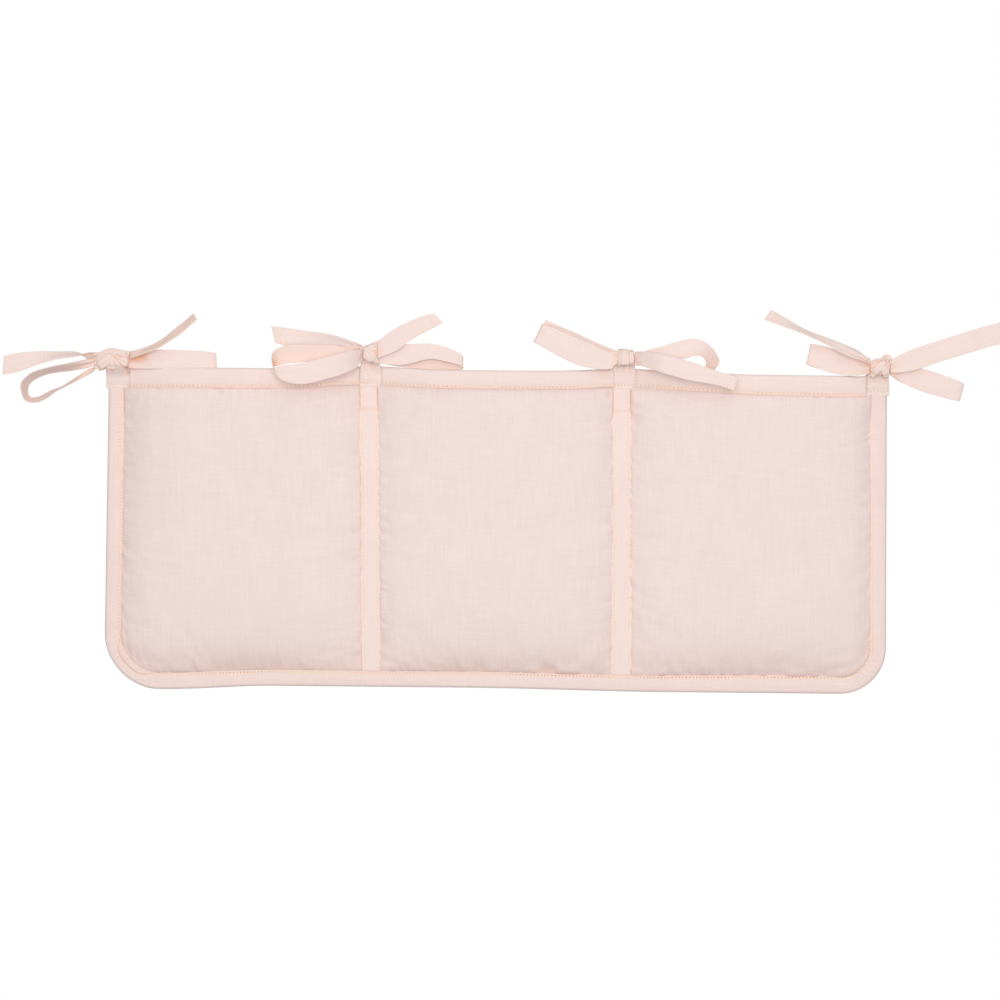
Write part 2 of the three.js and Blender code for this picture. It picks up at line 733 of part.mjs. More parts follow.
    arms: {
      left_tail: {
        reachShare: 1.206,
        shares: [
          [0, 0.07, 0, 0.01, 0.03, 0],
          [0.12, 0.17, 0.12, 0.08, 0.08, 0.6],
          [0.25, 0.247, 0.245, 0.147, 0.12, 1],
          [0.41, 0.319, 0.42, 0.245, 0.13, 1],
          [0.62, 0.365, 0.63, 0.39, 0.13, 1],
          [0.82, 0.43, 0.79, 0.495, 0.13, 1],
          [1, 0.495, 0.94, 0.577, 0.13, 1],
        ],
      },
      left_loop: {
        reachShare: 0.734,
        shares: [
          [0, 0.07, 0, -0.07, -0.015, 0],
          [0.27, 0.19, 0.27, -0.07, -0.015, 0],
          [0.52, 0.27, 0.5, -0.05, -0.02, 0],
          [0.76, 0.34, 0.76, -0.01, -0.02, 0],
          [0.94, 0.37, 1, 0.056, -0.06, 0],
          [0.76, 0.32, 0.77, 0.0, -0.1, 0],
          [0.4, 0.2, 0.4, -0.05, -0.1, 0],
          [0, 0.06, 0, -0.07, -0.06, 0],
        ],
      },
      right_tail: {
        reachShare: 1.325,
        shares: [
          [0, 0.06, 0, -0.06, 0.025, 0],
          [0.18, 0.147, 0.2, -0.03, 0.05, 0],
          [0.39, 0.219, 0.42, 0.045, 0.07, 0],
          [0.61, 0.29, 0.62, 0.107, 0.08, 0],
          [0.79, 0.347, 0.8, 0.165, 0.08, 0],
          [0.955, 0.394, 0.985, 0.215, 0.08, 0],
        ],
      },
      right_loop: {
        reachShare: 0.875,
        shares: [
          [0, 0.03, 0, -0.11, -0.015, 0],
          [0.2, 0.02, 0.216, -0.24, -0.02, 0],
          [0.43, -0.025, 0.43, -0.32, -0.03, 0],
          [0.65, -0.088, 0.65, -0.385, -0.03, 0],
          [0.86, -0.163, 0.82, -0.43, -0.035, 0],
          [0.96, -0.205, 0.91, -0.445, -0.045, 0],
          [1, -0.228, 0.95, -0.449, -0.075, 0],
          [0.96, -0.205, 0.91, -0.44, -0.105, 0],
          [0.8, -0.14, 0.78, -0.41, -0.115, 0],
          [0.45, -0.04, 0.45, -0.32, -0.11, 0],
          [0.15, 0.0, 0.15, -0.2, -0.08, 0],
          [0, 0.02, 0, -0.11, -0.05, 0],
        ],
      },
    },
  },
];

makeRearPanel();
add('front_panel_margin', join([marginPlate(), ...mouthStacks()]), cottonColour);
pockets.forEach(makePocket);
makeEdgeBinding();
makeEdgeStitching();
makeDivider('left', -dividerPlace);
makeDivider('right', dividerPlace);
bows.forEach(({ tab, knotShares, arms }, i) => {
  const number = i + 1;
  const knot = {
    x: tab + knotShares.along * knotWidth,
    z: knotShares.rise * knotRise,
    width: knotShares.width * knotWidth,
    height: knotShares.height * knotHeight,
  };
  makeTab(number, tab, knot.z);
  makeKnot(number, knot);
  for (const [arm, table] of Object.entries(arms)) {
    makeArm(`bow_${number}_${arm}`, knot, arm.startsWith('left') ? -1 : 1, table);
  }
});

export default caddy;
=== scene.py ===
"""A padded cotton caddy with three pockets, hung by four ribbon bows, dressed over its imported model."""

import math

import bpy
import mathutils
import numpy as np
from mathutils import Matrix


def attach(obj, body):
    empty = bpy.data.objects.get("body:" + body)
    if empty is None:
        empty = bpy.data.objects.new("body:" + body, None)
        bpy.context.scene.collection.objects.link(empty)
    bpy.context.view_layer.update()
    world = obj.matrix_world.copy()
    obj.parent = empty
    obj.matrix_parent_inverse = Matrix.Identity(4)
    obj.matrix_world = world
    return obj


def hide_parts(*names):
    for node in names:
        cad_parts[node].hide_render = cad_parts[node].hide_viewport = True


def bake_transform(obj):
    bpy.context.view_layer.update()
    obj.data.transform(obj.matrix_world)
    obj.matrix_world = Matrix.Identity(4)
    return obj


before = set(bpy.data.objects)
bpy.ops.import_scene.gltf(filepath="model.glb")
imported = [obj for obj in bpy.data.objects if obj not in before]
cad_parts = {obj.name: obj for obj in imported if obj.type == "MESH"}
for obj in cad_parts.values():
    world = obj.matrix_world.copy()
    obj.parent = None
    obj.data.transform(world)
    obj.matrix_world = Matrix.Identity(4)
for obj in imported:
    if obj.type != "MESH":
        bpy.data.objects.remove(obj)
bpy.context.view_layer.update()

# In metres
MILLIMETRE = 0.001

# Sizes of the solid model, in millimetres. Points are (place along the rail, height, depth), with depth
# counted forward from the back of the panel.
PANEL_WIDTH = 600
PANEL_HEIGHT = 246
LEFT_RADIUS = 42
RIGHT_RADIUS = 36
CLOTH = 0.5
FOLD = 0.8
GAP = 0.3
BINDING_WIDTH = 12.5
BAND_HEIGHT = 14
TAPE_WIDTH = 13
SEAM_INSET = 1.3
TAB_WIDTH = 17
TAB_HEIGHT = 15
RIBBON_WIDTH = 13.5
RIBBON_THICKNESS = 0.6
KNOT_WIDTH = 14
KNOT_HEIGHT = 15
KNOT_DEPTH = 12
KNOT_RISE = 10
ARM_REACH = 65

# Depths of the sewn layers
REAR_LINING = 4.6
MARGIN_BACK = 4.9
MARGIN_FRONT = 6.9
BINDING_FRONT = 8.0
MOUTH_RISE = 2.2
STACK_BACK = 6.0
STACK_FRONT = 11.6
TAB_BACK = 11.9
TAB_FRONT = 13.1
KNOT_MIDDLE = 19.4

# How far a quilt's edge runs on under its trim, and how far the mouth band's end runs on each way under a tab
SEAM_LAP = 0.8
BAND_END = 8.4

# How the hanging panel differs from the solid model
FOOT_SPREAD = 0.005
FOOT_LIFT = 3.3
FOOT_SAG = 1.4
TOP_DRAWN = 2.9
TOP_SAG = 1.4

# Pocket fronts
SEAM_BATTING = 1
MOUTH_BATTING = 1.8
PUFF_BATTING = 5
PUFF_REACH = 24
MOUTH_LIFT = 11
BELLY_LIFT = 7.5
LIFT_REACH = 60
RELIEF_REACH = 24
ROWS_BEHIND_BAND = 5
ROWS_BELOW_BAND = 135

# Places
HALF = PANEL_WIDTH / 2
POCKET_WIDTH = (PANEL_WIDTH - 2 * BINDING_WIDTH - 2 * TAPE_WIDTH) / 3
DIVIDER = (POCKET_WIDTH + TAPE_WIDTH) / 2
END_TAB = HALF - TAB_WIDTH / 2
POCKET_TOP = -2
POCKET_SEAT = -17.3

# A distance at which nothing is felt
FAR = 99.0

# Simulated cloth of the pocket covers, in Blender's units
SIMULATED_ROWS = 84
SIMULATED_COLUMNS = 66
HELD_BY_WADDING = 0.02
SIMULATED_STEPS = 20
SIMULATED_CLOTH = {
    "quality": 6,
    "mass": 0.12,
    "tension_stiffness": 12,
    "compression_stiffness": 12,
    "shear_stiffness": 4,
    "bending_stiffness": 0.02,
    "vertex_group_mass": "sewn",
    "use_pressure": True,
    "uniform_pressure_force": 4,
    "shrink_min": -0.03,
}

# The deepest simulated wrinkle
WRINKLE_LIMIT = 1.2

# Edges that turn by more degrees than this are sharp
SHARP_ANGLE = 60

# Stitches
PITCH = 2.7
MOUTH_PITCH = 3.2
THREAD = 0.32
BEAD_SIDES = 6

# Points along a straight seam, and the distance between those along an edge
ROUTE_POINTS = 120
STATION_STEP = 1.5

# Colours, linear
COTTON = (0.849, 0.702, 0.667)
BINDING = (0.85, 0.69, 0.64)
BAND = (0.872, 0.715, 0.665)
RIBBON = (0.874, 0.716, 0.664)
# The next two colours are painted shade, in creases, seams and hollows and where cloth turns from the light;
# the second is for the pocket fronts.
CREASE_SHADE = (0.84, 0.48, 0.32)
SHADE = (0.7, 0.47, 0.38)
LINING = (0.87, 0.725, 0.68)
THREAD_COLOUR = (0.97, 0.78, 0.62)
# Painted shade in the needle's holes
HOLE_SHADE = (0.56, 0.25, 0.13)

# Distance between two threads of the same way in the cloth, in metres
WEAVE_PITCH = 0.0005

# Room, in metres
WORLD_LIGHT = 0.42
LAMPS = [
    ("front_light", (0.03, -2.6, 0), 1.3, 33.5),
    ("key_light", (0.15, -1.6, 0.9), 1.8, 7),
    ("back_light", (-0.3, 2.4, 0.6), 2.0, 28),
]
LAMP_AIM = (0, 0, -0.12)
FLOOR = -2.4
FLOOR_HALF = 4
FLOOR_TONE = 0.75
CAMERA_PLACE = (0.0025, -1.826, -0.0991)
CAMERA_ROLL = -0.56
CAMERA_LENS = 85
CAMERA_SENSOR = 36

# Mesh code. A part is a dict of its points, its faces, its slot of material, and for each point its place on
# the woven cloth (weave) and how far its colour goes towards the crease shade colour (fold), which is
# painted shade in its creases, seams and hollows and where it turns from the light.


def noise(u, v, seed):
    """Smooth noise from 0 to 1, with features about one unit across. A caller divides its places by the size
    of the features, in millimetres, and gives each use a seed of its own."""
    size = 64
    table = np.random.default_rng(seed).random((size, size))
    u, v = np.broadcast_arrays(np.asarray(u, float), np.asarray(v, float))
    i, j = np.floor(u).astype(int), np.floor(v).astype(int)
    a, b = ease(u - i), ease(v - j)
    i, j, after_i, after_j = i % size, j % size, (i + 1) % size, (j + 1) % size
    near = table[i, j] * (1 - a) + table[after_i, j] * a
    far = table[i, after_j] * (1 - a) + table[after_i, after_j] * a
    return near * (1 - b) + far * b


def ease(share):
    """0 to 1, level at both ends."""
    share = np.clip(share, 0, 1)
    return share * share * (3 - 2 * share)


def bell(distance, width):
    """1 at no distance, falling smoothly to almost nothing at twice the width."""
    return np.exp(-((distance / width) ** 2))


def puff(distance, reach):
    """Rises from 0 at a seam to 1 at the reach, steep at first, like a filled quilt."""
    left = 1 - np.clip(distance / reach, 0, 1)
    return 1 - left * left


def gathers(along, away, seed, reach=12):
    """Small gathers that a seam pulls into the cloth beside it. They fade out over the reach."""
    crest = 1 - np.abs(2 * noise(along / 5 + away / 25, away / 26, seed) - 1)
    strong = 0.15 + 1.9 * np.clip(noise(along / 24, away / 60, seed + 1) - 0.35, 0, 1)
    return strong * (crest - 0.55) * np.exp(-away / reach) * ease((away + 0.4) / 2)


def unit(vectors):
    return vectors / np.maximum(np.linalg.norm(vectors, axis=-1, keepdims=True), 1e-9)


def to_metres(points):
    """From (place, height, depth) in millimetres to X, Y, Z in metres."""
    return np.stack([points[..., 0], -points[..., 2], points[..., 1]], axis=-1) * MILLIMETRE


def hung(points):
    """The hanging panel is a little wider at its foot, and its bottom edge isn't quite straight. The bows
    beside its middle draw its top edge up, and it sags a little at the right."""
    place, height, depth = points.T
    down = np.clip(-height / PANEL_HEIGHT, 0, 1)
    place = place * (1 + FOOT_SPREAD * down)
    # In each ease, the first number is where a change begins, and the second is how long it takes.
    lift = FOOT_LIFT * ease((place + 255) / 85) - FOOT_SAG
    lift = lift * ease((130 - place) / 150) * ease((place + 300) / 40)
    beside_bow = bell(np.abs(place) - DIVIDER, 34)
    drawn = TOP_DRAWN * beside_bow * ease((150 - np.abs(place)) / 20)
    sag = TOP_SAG * ease((place - 150) / 50) * ease((292 - place) / 17)
    near_top = ease((height + 80) / 50) * ease((6.5 - height) / 6.5)
    return np.stack([place, height + lift * down**3 + (drawn - sag) * near_top, depth], axis=-1)


def normals_of(middle):
    """Normals of a grid of points, towards where its rows are seen to run down and its columns right."""
    along = np.gradient(middle, axis=0)
    across = np.gradient(middle, axis=1)
    return unit(np.cross(along, across))


def ring_of(rows, columns):
    """Row and column numbers once round a grid."""
    down = [(i, 0) for i in range(rows)]
    right = [(rows - 1, j) for j in range(1, columns)]
    up = [(i, columns - 1) for i in range(rows - 2, -1, -1)]
    left = [(0, j) for j in range(columns - 2, 0, -1)]
    return np.array(down + right + up + left)


def quads_of(index):
    """A face for each cell of a grid of point numbers."""
    corners = [index[:-1, :-1], index[1:, :-1], index[1:, 1:], index[:-1, 1:]]
    return np.stack(corners, axis=-1).reshape(-1, 4)


def outward(points, faces):
    """The faces of a closed part, turned round if they look into it."""
    corners = [to_metres(points)[faces[:, k]] for k in range(faces.shape[1])]
    total = 0
    for k in range(1, len(corners) - 1):
        total += (corners[0] * np.cross(corners[k], corners[k + 1])).sum()
    return faces[:, ::-1] if total < 0 else faces


def shell(front, back, weave, fold=0.0, rim=None):
    """A closed part between two grids of points, with an outer row of points round its rim."""
    rows, columns = front.shape[:2]
    count = rows * columns
    index = np.arange(count).reshape(rows, columns)
    quads = quads_of(index)
    ring = ring_of(rows, columns)
    outer = index[ring[:, 0], ring[:, 1]]
    points = [front.reshape(-1, 3), back.reshape(-1, 3)]
    bands = [outer, outer + count]
    if rim is not None:
        points.append(rim)
        bands.insert(1, 2 * count + np.arange(len(ring)))
    faces = [quads, quads[:, ::-1] + count]
    for near, far in zip(bands, bands[1:]):
        faces.append(np.stack([near, far, np.roll(far, -1), np.roll(near, -1)], axis=-1))
    points = np.concatenate(points)
    weave = np.broadcast_to(weave, (rows, columns, 2)).reshape(-1, 2)
    fold = np.broadcast_to(fold, (rows, columns)).reshape(-1)
    on_rim = outer if rim is not None else outer[:0]
    return {
        "points": points,
        "faces": outward(points, np.concatenate(faces)),
        "weave": np.concatenate([weave, weave, weave[on_rim]]),
        "fold": np.concatenate([fold, fold, fold[on_rim]]),
        "slot": 0,
    }


def cloth(middle, thickness, weave, fold=0.0, square=()):
    """A strip or sheet of cloth about the grid of its middle surface. Its edges are round, except those whose
    row, 0 or -1, is in square."""
    along = unit(np.gradient(middle, axis=0))
    across = unit(np.gradient(middle, axis=1))
    normal = normals_of(middle)
    ring = ring_of(*middle.shape[:2])
    i, j = ring[:, 0], ring[:, 1]
    last_row, last_column = middle.shape[0] - 1, middle.shape[1] - 1
    round_end = (i == last_row) * (-1 not in square) - (i == 0) * (0 not in square) * 1.0
    round_side = (j == last_column) * 1.0 - (j == 0)
    out = along[i, j] * round_end[:, None] + across[i, j] * round_side[:, None]
    half = thickness / 2
    rim = middle[i, j] + unit(out) * half
    return shell(middle + half * normal, middle - half * normal, weave, fold, rim)


def travel_along(route):
    """How far each point of a route is from its start, measured along it."""
    steps = np.linalg.norm(np.diff(route, axis=0), axis=1)
    return np.concatenate([[0], np.cumsum(steps)])


def values_along(travel, values, places):
    """Vectors at some places of a route, from those at its points."""
    return np.stack([np.interp(places, travel, values[:, k]) for k in range(3)], -1)


def stitches(route, normal, pitch=PITCH, radius=THREAD, slot=0, shade=1.0):
    """A row of short loops of thread along a route on cloth, with dark beads between them that are painted
    shade in the needle's holes.
    """
    travel = travel_along(route)
    count = max(int(travel[-1] / pitch), 1)
    centre = (np.arange(count) + 0.5) * travel[-1] / count
    place = values_along(travel, route, centre)
    up = unit(values_along(travel, normal, centre))
    ahead = unit(values_along(travel, np.gradient(route, axis=0), centre))
    side = unit(np.cross(ahead, up))
    loop = np.array([(-1, 0.3, -0.7), (-0.75, 0.9, 0.1), (0, 1, 0.5), (0.75, 0.9, 0.1), (1, 0.3, -0.7)])
    # Dark beads between the loops that paint the shade in the needle's holes
    shade_bead_profile = np.array([(-1, 0.5, -0.3), (-0.6, 1, -0.15), (0, 1.1, -0.1), (0.6, 1, -0.15), (1, 0.5, -0.3)])
    bead_points = len(loop) * BEAD_SIDES
    loop = loop * (pitch * 0.32, radius, radius)
    shade_bead_profile = shade_bead_profile * (pitch * 0.19, 1.9 * radius, radius)
    loops = beads(place, ahead, side, up, loop, 1)
    shade_beads = beads(place + ahead * pitch / 2, ahead, side, up, shade_bead_profile, 0.3)
    points = np.concatenate([loops[0], shade_beads[0]])
    faces = np.concatenate([loops[1], shade_beads[1] + len(loops[0])])
    faces = outward(points - points.mean(axis=0), faces)
    weave = np.stack([np.tile(np.repeat(centre, bead_points), 2), np.zeros(len(points))], axis=-1)
    strength = shade * (0.25 + 1.5 * noise(centre / 24, 0, len(centre)))
    fold = np.concatenate([np.zeros(len(loops[0])), np.repeat(np.clip(strength, 0, 1), bead_points)])
    return {"points": points, "faces": faces, "weave": weave, "fold": fold, "slot": slot}


def beads(place, ahead, side, up, profile, flatness):
    """A closed six-sided bead at each place. Its profile has rows of distance ahead, width and lift."""
    stations, widths, lifts = profile.T
    turns = np.arange(BEAD_SIDES) * math.pi / (BEAD_SIDES / 2)
    shape = (len(place), len(stations), len(turns), 3)
    points = np.broadcast_to(place[:, None, None], shape) + 0
    points += ahead[:, None, None] * stations[None, :, None, None]
    points += side[:, None, None] * (widths[:, None] * np.cos(turns))[None, :, :, None]
    high = lifts[:, None] + flatness * widths[:, None] * np.sin(turns)
    points += up[:, None, None] * high[None, :, :, None]
    index = np.arange(np.prod(shape[:3])).reshape(shape[:3])
    corners = [index[:, :-1], index[:, 1:], np.roll(index[:, 1:], -1, 2), np.roll(index[:, :-1], -1, 2)]
    faces = [np.stack(corners, axis=-1).reshape(-1, 4)]
    faces += [index[:, 0, [0, 1, 2, 3]], index[:, 0, [3, 4, 5, 0]]]
    faces += [index[:, -1, [3, 2, 1, 0]], index[:, -1, [0, 5, 4, 3]]]
    return points.reshape(-1, 3), np.concatenate(faces)


def added(name, data):
    """A new object in the scene."""
    made = bpy.data.objects.new(name, data)
    bpy.context.scene.collection.objects.link(made)
    return made


def piece(name, parts, materials, stands_for=()):
    """One smooth object from its parts, in place of some nodes of the solid model."""
    starts = np.cumsum([0] + [len(part["points"]) for part in parts])
    points = to_metres(hung(np.concatenate([part["points"] for part in parts])))
    faces = np.concatenate([part["faces"] + start for part, start in zip(parts, starts)])
    mesh = bpy.data.meshes.new(name)
    mesh.from_pydata(points.tolist(), [], faces.tolist())
    for material in materials:
        mesh.materials.append(material)
    slots = np.concatenate([np.full(len(part["faces"]), part["slot"]) for part in parts])
    mesh.polygons.foreach_set("material_index", slots.astype(np.int32))
    mesh.shade_smooth()
    mesh.set_sharp_from_angle(angle=math.radians(SHARP_ANGLE))
    weave = np.concatenate([part["weave"] for part in parts]) * MILLIMETRE
    weave = np.column_stack([weave, np.zeros(len(weave))])
    values = mesh.attributes.new("weave", "FLOAT_VECTOR", "POINT")
    values.data.foreach_set("vector", weave.astype(np.float32).ravel())
    # The amount of painted shade at each point
    fold = np.concatenate([part["fold"] for part in parts])
    shade_values = mesh.attributes.new("fold", "FLOAT", "POINT")
    shade_values.data.foreach_set("value", fold.astype(np.float32))
    made = added(name, mesh)
    if stands_for:
        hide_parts(*stands_for)
    return made


def thread_piece(name, rows, materials, stands_for=()):
    """Rows of stitches as one object."""
    return piece(name, rows, [materials["thread"]], stands_for)


# Materials


def node(tree, kind, inputs=None, **settings):
    """A new node. Each of its inputs is a value, or an output of another node that it is linked to."""
    made = tree.nodes.new(kind)
    for key, value in settings.items():
        setattr(made, key, value)
    for key, value in (inputs or {}).items():
        if isinstance(value, bpy.types.NodeSocket):
            tree.links.new(value, made.inputs[key])
        else:
            made.inputs[key].default_value = value
    return made


def maths(tree, operation, first, second=0.0):
    return node(tree, "ShaderNodeMath", {0: first, 1: second}, operation=operation).outputs[0]


def scaled(tree, vector, factor):
    return node(tree, "ShaderNodeVectorMath", {0: vector, "Scale": factor}, operation="SCALE").outputs[0]


def about_one(tree, value, reach):
    """A value from 0 to 1, moved to a little below and above 1."""
    made = node(tree, "ShaderNodeMapRange", {"Value": value, "To Min": 1 - reach, "To Max": 1 + reach})
    return made.outputs[0]


def cloth_value(tree, name, output):
    """The cloth values of the mesh: weave, as a vector, or the amount of painted shade, as a number."""
    return node(tree, "ShaderNodeAttribute", attribute_name=name).outputs[output]


def streaks(tree, weave, along, across):
    """Noise drawn out along the threads: its features are along by across, in metres."""
    shares = {0: weave, 1: (1 / along, 1 / across, 1)}
    drawn = node(tree, "ShaderNodeVectorMath", shares, operation="MULTIPLY")
    made = node(tree, "ShaderNodeTexNoise", {"Vector": drawn.outputs[0], "Scale": 1.0, "Detail": 2.0})
    return made.outputs["Fac"]


def mixed(tree, factor, low, high):
    """A colour between low, which is a colour or an output, and the colour high."""
    low = (*low, 1) if isinstance(low, tuple) else low
    made = node(tree, "ShaderNodeMix", {"Factor": factor, 6: low, 7: (*high, 1)}, data_type="RGBA")
    return made.outputs[2]


def toned(colour, amount):
    return tuple(channel * amount for channel in colour)


def new_material(name, roughness, sheen):
    """A material, its node tree and its shader."""
    material = bpy.data.materials.new(name)
    material.use_nodes = True
    shader = material.node_tree.nodes["Principled BSDF"]
    shader.inputs["Roughness"].default_value = roughness
    shader.inputs["Sheen Weight"].default_value = sheen
    return material, material.node_tree, shader


def cotton(name, colour, crease_shade=CREASE_SHADE, slub=0.05):
    """Plain-woven cotton with slubs both ways, a cloudy tone, and painted shade in its creases, seams and
    hollows.
    """
    material, tree, shader = new_material(name, 0.85, 0.12)
    shader.inputs["Specular IOR Level"].default_value = 0.25
    shader.inputs["Sheen Roughness"].default_value = 0.6
    weave = cloth_value(tree, "weave", "Vector")
    fold = cloth_value(tree, "fold", "Fac")
    warp = streaks(tree, weave, 0.026, 0.0017)
    weft = streaks(tree, weave, 0.0016, 0.016)
    cloud = streaks(tree, weave, 0.03, 0.022)
    tone = mixed(tree, warp, toned(colour, 1 - slub), toned(colour, 1 + slub))
    brightness = maths(tree, "MULTIPLY", about_one(tree, weft, 0.7 * slub), about_one(tree, cloud, 0.03))
    tone = scaled(tree, tone, brightness)
    # Painted shade: the colour turns towards the crease shade colour as the painted shade grows
    tree.links.new(mixed(tree, fold, tone, crease_shade), shader.inputs["Base Color"])
    turned = scaled(tree, weave, 2 * math.pi / WEAVE_PITCH)
    axes = node(tree, "ShaderNodeSeparateXYZ", {0: turned}).outputs
    threads = maths(tree, "MULTIPLY", maths(tree, "SINE", axes[0]), maths(tree, "SINE", axes[1]))
    slubs = maths(tree, "ADD", maths(tree, "MULTIPLY", warp, 1.5), weft)
    height = maths(tree, "ADD", slubs, maths(tree, "MULTIPLY", threads, 0.35))
    bump = {"Height": height, "Strength": 0.1, "Distance": 0.0004}
    tree.links.new(node(tree, "ShaderNodeBump", bump).outputs[0], shader.inputs["Normal"])
    return material


def thread(name, colour):
    """Two-ply sewing thread with a fine twist, and the painted shade of the needle's holes where the painted
    shade is 1.
    """
    material, tree, shader = new_material(name, 0.6, 0.1)
    twist = streaks(tree, cloth_value(tree, "weave", "Vector"), 0.0004, 0.0004)
    fold = cloth_value(tree, "fold", "Fac")
    tone = mixed(tree, twist, toned(colour, 0.93), toned(colour, 1.05))
    tree.links.new(mixed(tree, fold, tone, HOLE_SHADE), shader.inputs["Base Color"])
    bump = {"Height": twist, "Strength": 0.3, "Distance": 0.0001}
    tree.links.new(node(tree, "ShaderNodeBump", bump).outputs[0], shader.inputs["Normal"])
    return material


# Panel outline


def corner_rise(distance, radius, inset):
    """How far the bottom edge has risen at a distance from the side edge."""
    inner = radius - inset
    along = np.maximum(radius - distance, 0)
    return inner - np.sqrt(np.maximum(inner**2 - along**2, 0))


def bottom_at(x, inset):
    left = corner_rise(x + HALF, LEFT_RADIUS, inset)
    right = corner_rise(HALF - x, RIGHT_RADIUS, inset)
    return -PANEL_HEIGHT + inset + np.maximum(left, right)


def edge_stations(step=STATION_STEP):
    """Points down the right edge, along the bottom and up the left edge, with the way out at each."""
    route = []
    for side, radius in ((-1, LEFT_RADIUS), (1, RIGHT_RADIUS)):
        turns = np.linspace(0, math.pi / 2, int(radius * math.pi / 2 / step) + 1)
        turns = turns + (math.pi if side < 0 else 1.5 * math.pi)
        out = np.stack([np.cos(turns), np.sin(turns)], axis=-1)
        centre = np.array([side * (HALF - radius), -PANEL_HEIGHT + radius])
        arc = np.column_stack([centre + out * radius, out])
        count = int((PANEL_HEIGHT - radius - BAND_HEIGHT) / step)
        heights = np.linspace(-BAND_HEIGHT - GAP, -PANEL_HEIGHT + radius, count)[:-1]
        leg = np.column_stack([np.full(len(heights), side * HALF), heights])
        leg = np.column_stack([leg, np.full(len(heights), side), np.zeros(len(heights))])
        route.append(np.vstack([leg, arc]) if side < 0 else np.vstack([arc, leg[::-1]]))
    across = np.linspace(route[0][-1, 0], route[1][0, 0], int(PANEL_WIDTH / step))[1:-1]
    flat = np.column_stack([across, np.full(len(across), -PANEL_HEIGHT)])
    flat = np.column_stack([flat, np.zeros(len(across)), np.full(len(across), -1.0)])
    return np.vstack([route[0], flat, route[1]])[::-1]


def top_stations(start, end):
    """Points along the top edge, with the way out, which is up."""
    across = np.linspace(start, end, max(int((end - start) / STATION_STEP), 3) + 1)
    zero = np.zeros(len(across))
    return np.column_stack([across, zero, zero, zero + 1])


def folded(stations, front, back, height, seed, bulge=0.7, sunk=0.3, wider=0, seam_shades=(0.32, 0.1)):
    """A strip folded over an edge: its grid of middle points, from the front's inner edge round the edge to
    the back's inner edge, its weave and painted shade, and the numbers of its two stitched columns. The last
    argument says how strong the painted shade is at its seam and beside its inner edge."""
    front, back = (np.broadcast_to(np.asarray(d, float), len(stations))[:, None] for d in (front, back))
    half = (front - back - FOLD) / 2
    middle = (front + back) / 2
    radius = np.minimum(half, 2.6)
    inner = np.array([0, 0.35, 0.8, SEAM_INSET, 1.8, 2.4, 3.4, 4.8, 6.4, 8.2, 10])
    inner = inner[inner < height - 3.2]
    fold_points = 15
    turns = np.linspace(0, math.pi, fold_points)[None, :]
    up_fold = -FOLD / 2 - radius + radius * np.sin(turns) ** 0.8
    flat = np.sign(np.cos(turns)) * np.abs(np.cos(turns)) ** 0.8
    top = bulge * math.sin(math.pi * (height - 3 - SEAM_INSET) / (height - SEAM_INSET))
    deep_fold = flat * half + top * np.where(flat > 0, 1, -0.3) * flat**2
    up_leg = np.broadcast_to(-height + inner, (len(stations), len(inner)))
    travel = travel_along(stations[:, :2])[:, None]
    pulled = bell(inner - SEAM_INSET, 0.7)
    crown = np.sin(math.pi * np.clip((inner - SEAM_INSET) / (height - SEAM_INSET), 0, 1))
    raised = bulge * crown - 0.28 * pulled
    waves = 0.5 * (noise(travel / 26, inner / 9, seed) - 0.5) * crown
    waves = waves + 0.5 * gathers(travel, np.abs(inner - SEAM_INSET), seed + 1, 5)
    deep_leg = half + raised + waves - sunk * np.exp(-inner / 0.9)
    up = np.column_stack([up_leg, up_fold, up_leg[:, ::-1]])
    deep = np.column_stack([deep_leg, deep_fold, -half - 0.3 * (raised + waves)[:, ::-1]])
    edge = 0.35 * (noise(travel / 17, 0, seed + 5) - 0.5)
    up = up + edge * np.exp(-(up + height) / 2.5)
    up[:, : len(inner)] -= wider * (1 - inner / height)
    grid = np.empty((len(stations), up.shape[1], 3))
    grid[..., 0] = stations[:, None, 0] + up * stations[:, None, 2]
    grid[..., 1] = stations[:, None, 1] + up * stations[:, None, 3]
    grid[..., 2] = middle + deep
    up_steps = np.diff(up, axis=1, prepend=up[:, :1])
    deep_steps = np.diff(deep, axis=1, prepend=deep[:, :1])
    girth = np.cumsum(np.hypot(up_steps, deep_steps), axis=1)
    weave = np.stack([np.broadcast_to(travel, up.shape), girth], axis=-1)
    away = np.abs(np.concatenate([inner, np.full(fold_points, 9.0), inner[::-1]]) - SEAM_INSET)
    from_edge = np.concatenate([inner, np.full(len(away) - len(inner), FAR)])
    # Painted shade beside the inner edge and along the seam
    shaded = seam_shades[1] * np.exp(-from_edge / 3.5)
    fold = np.broadcast_to(seam_shades[0] * bell(away, 0.7) + shaded, up.shape)
    seam = int(np.argmin(np.abs(inner - SEAM_INSET)))
    return grid, weave, fold, (seam, up.shape[1] - 1 - seam)


def sewn_rows(grid, columns, sides, pitch=PITCH, shade=0.3):
    """Stitching along some columns of a strip, on its outer side (1) or its inner side (-1)."""
    normal = normals_of(grid)
    rows = []
    for column, side in zip(columns, sides):
        away = normal[:, column] * side
        rows.append(stitches(grid[:, column] + away * FOLD / 2, away, pitch, shade=shade))
    return rows


# Rear panel


def spread(low, high, step):
    """Places from low to high, closer together beside both ends, with one in the middle."""
    near = np.array([0, 0.3, 0.9, 1.8])
    inner = np.linspace(low + near[-1], high - near[-1], 2 * int((high - low) / step / 2) + 1)
    return np.concatenate([low + near[:-1], inner, (high - near[:-1])[::-1]])


def at_depth(x, z, depth):
    """A grid of points at places on the panel and a depth."""
    return np.stack([x, z, np.broadcast_to(depth, x.shape)], axis=-1)


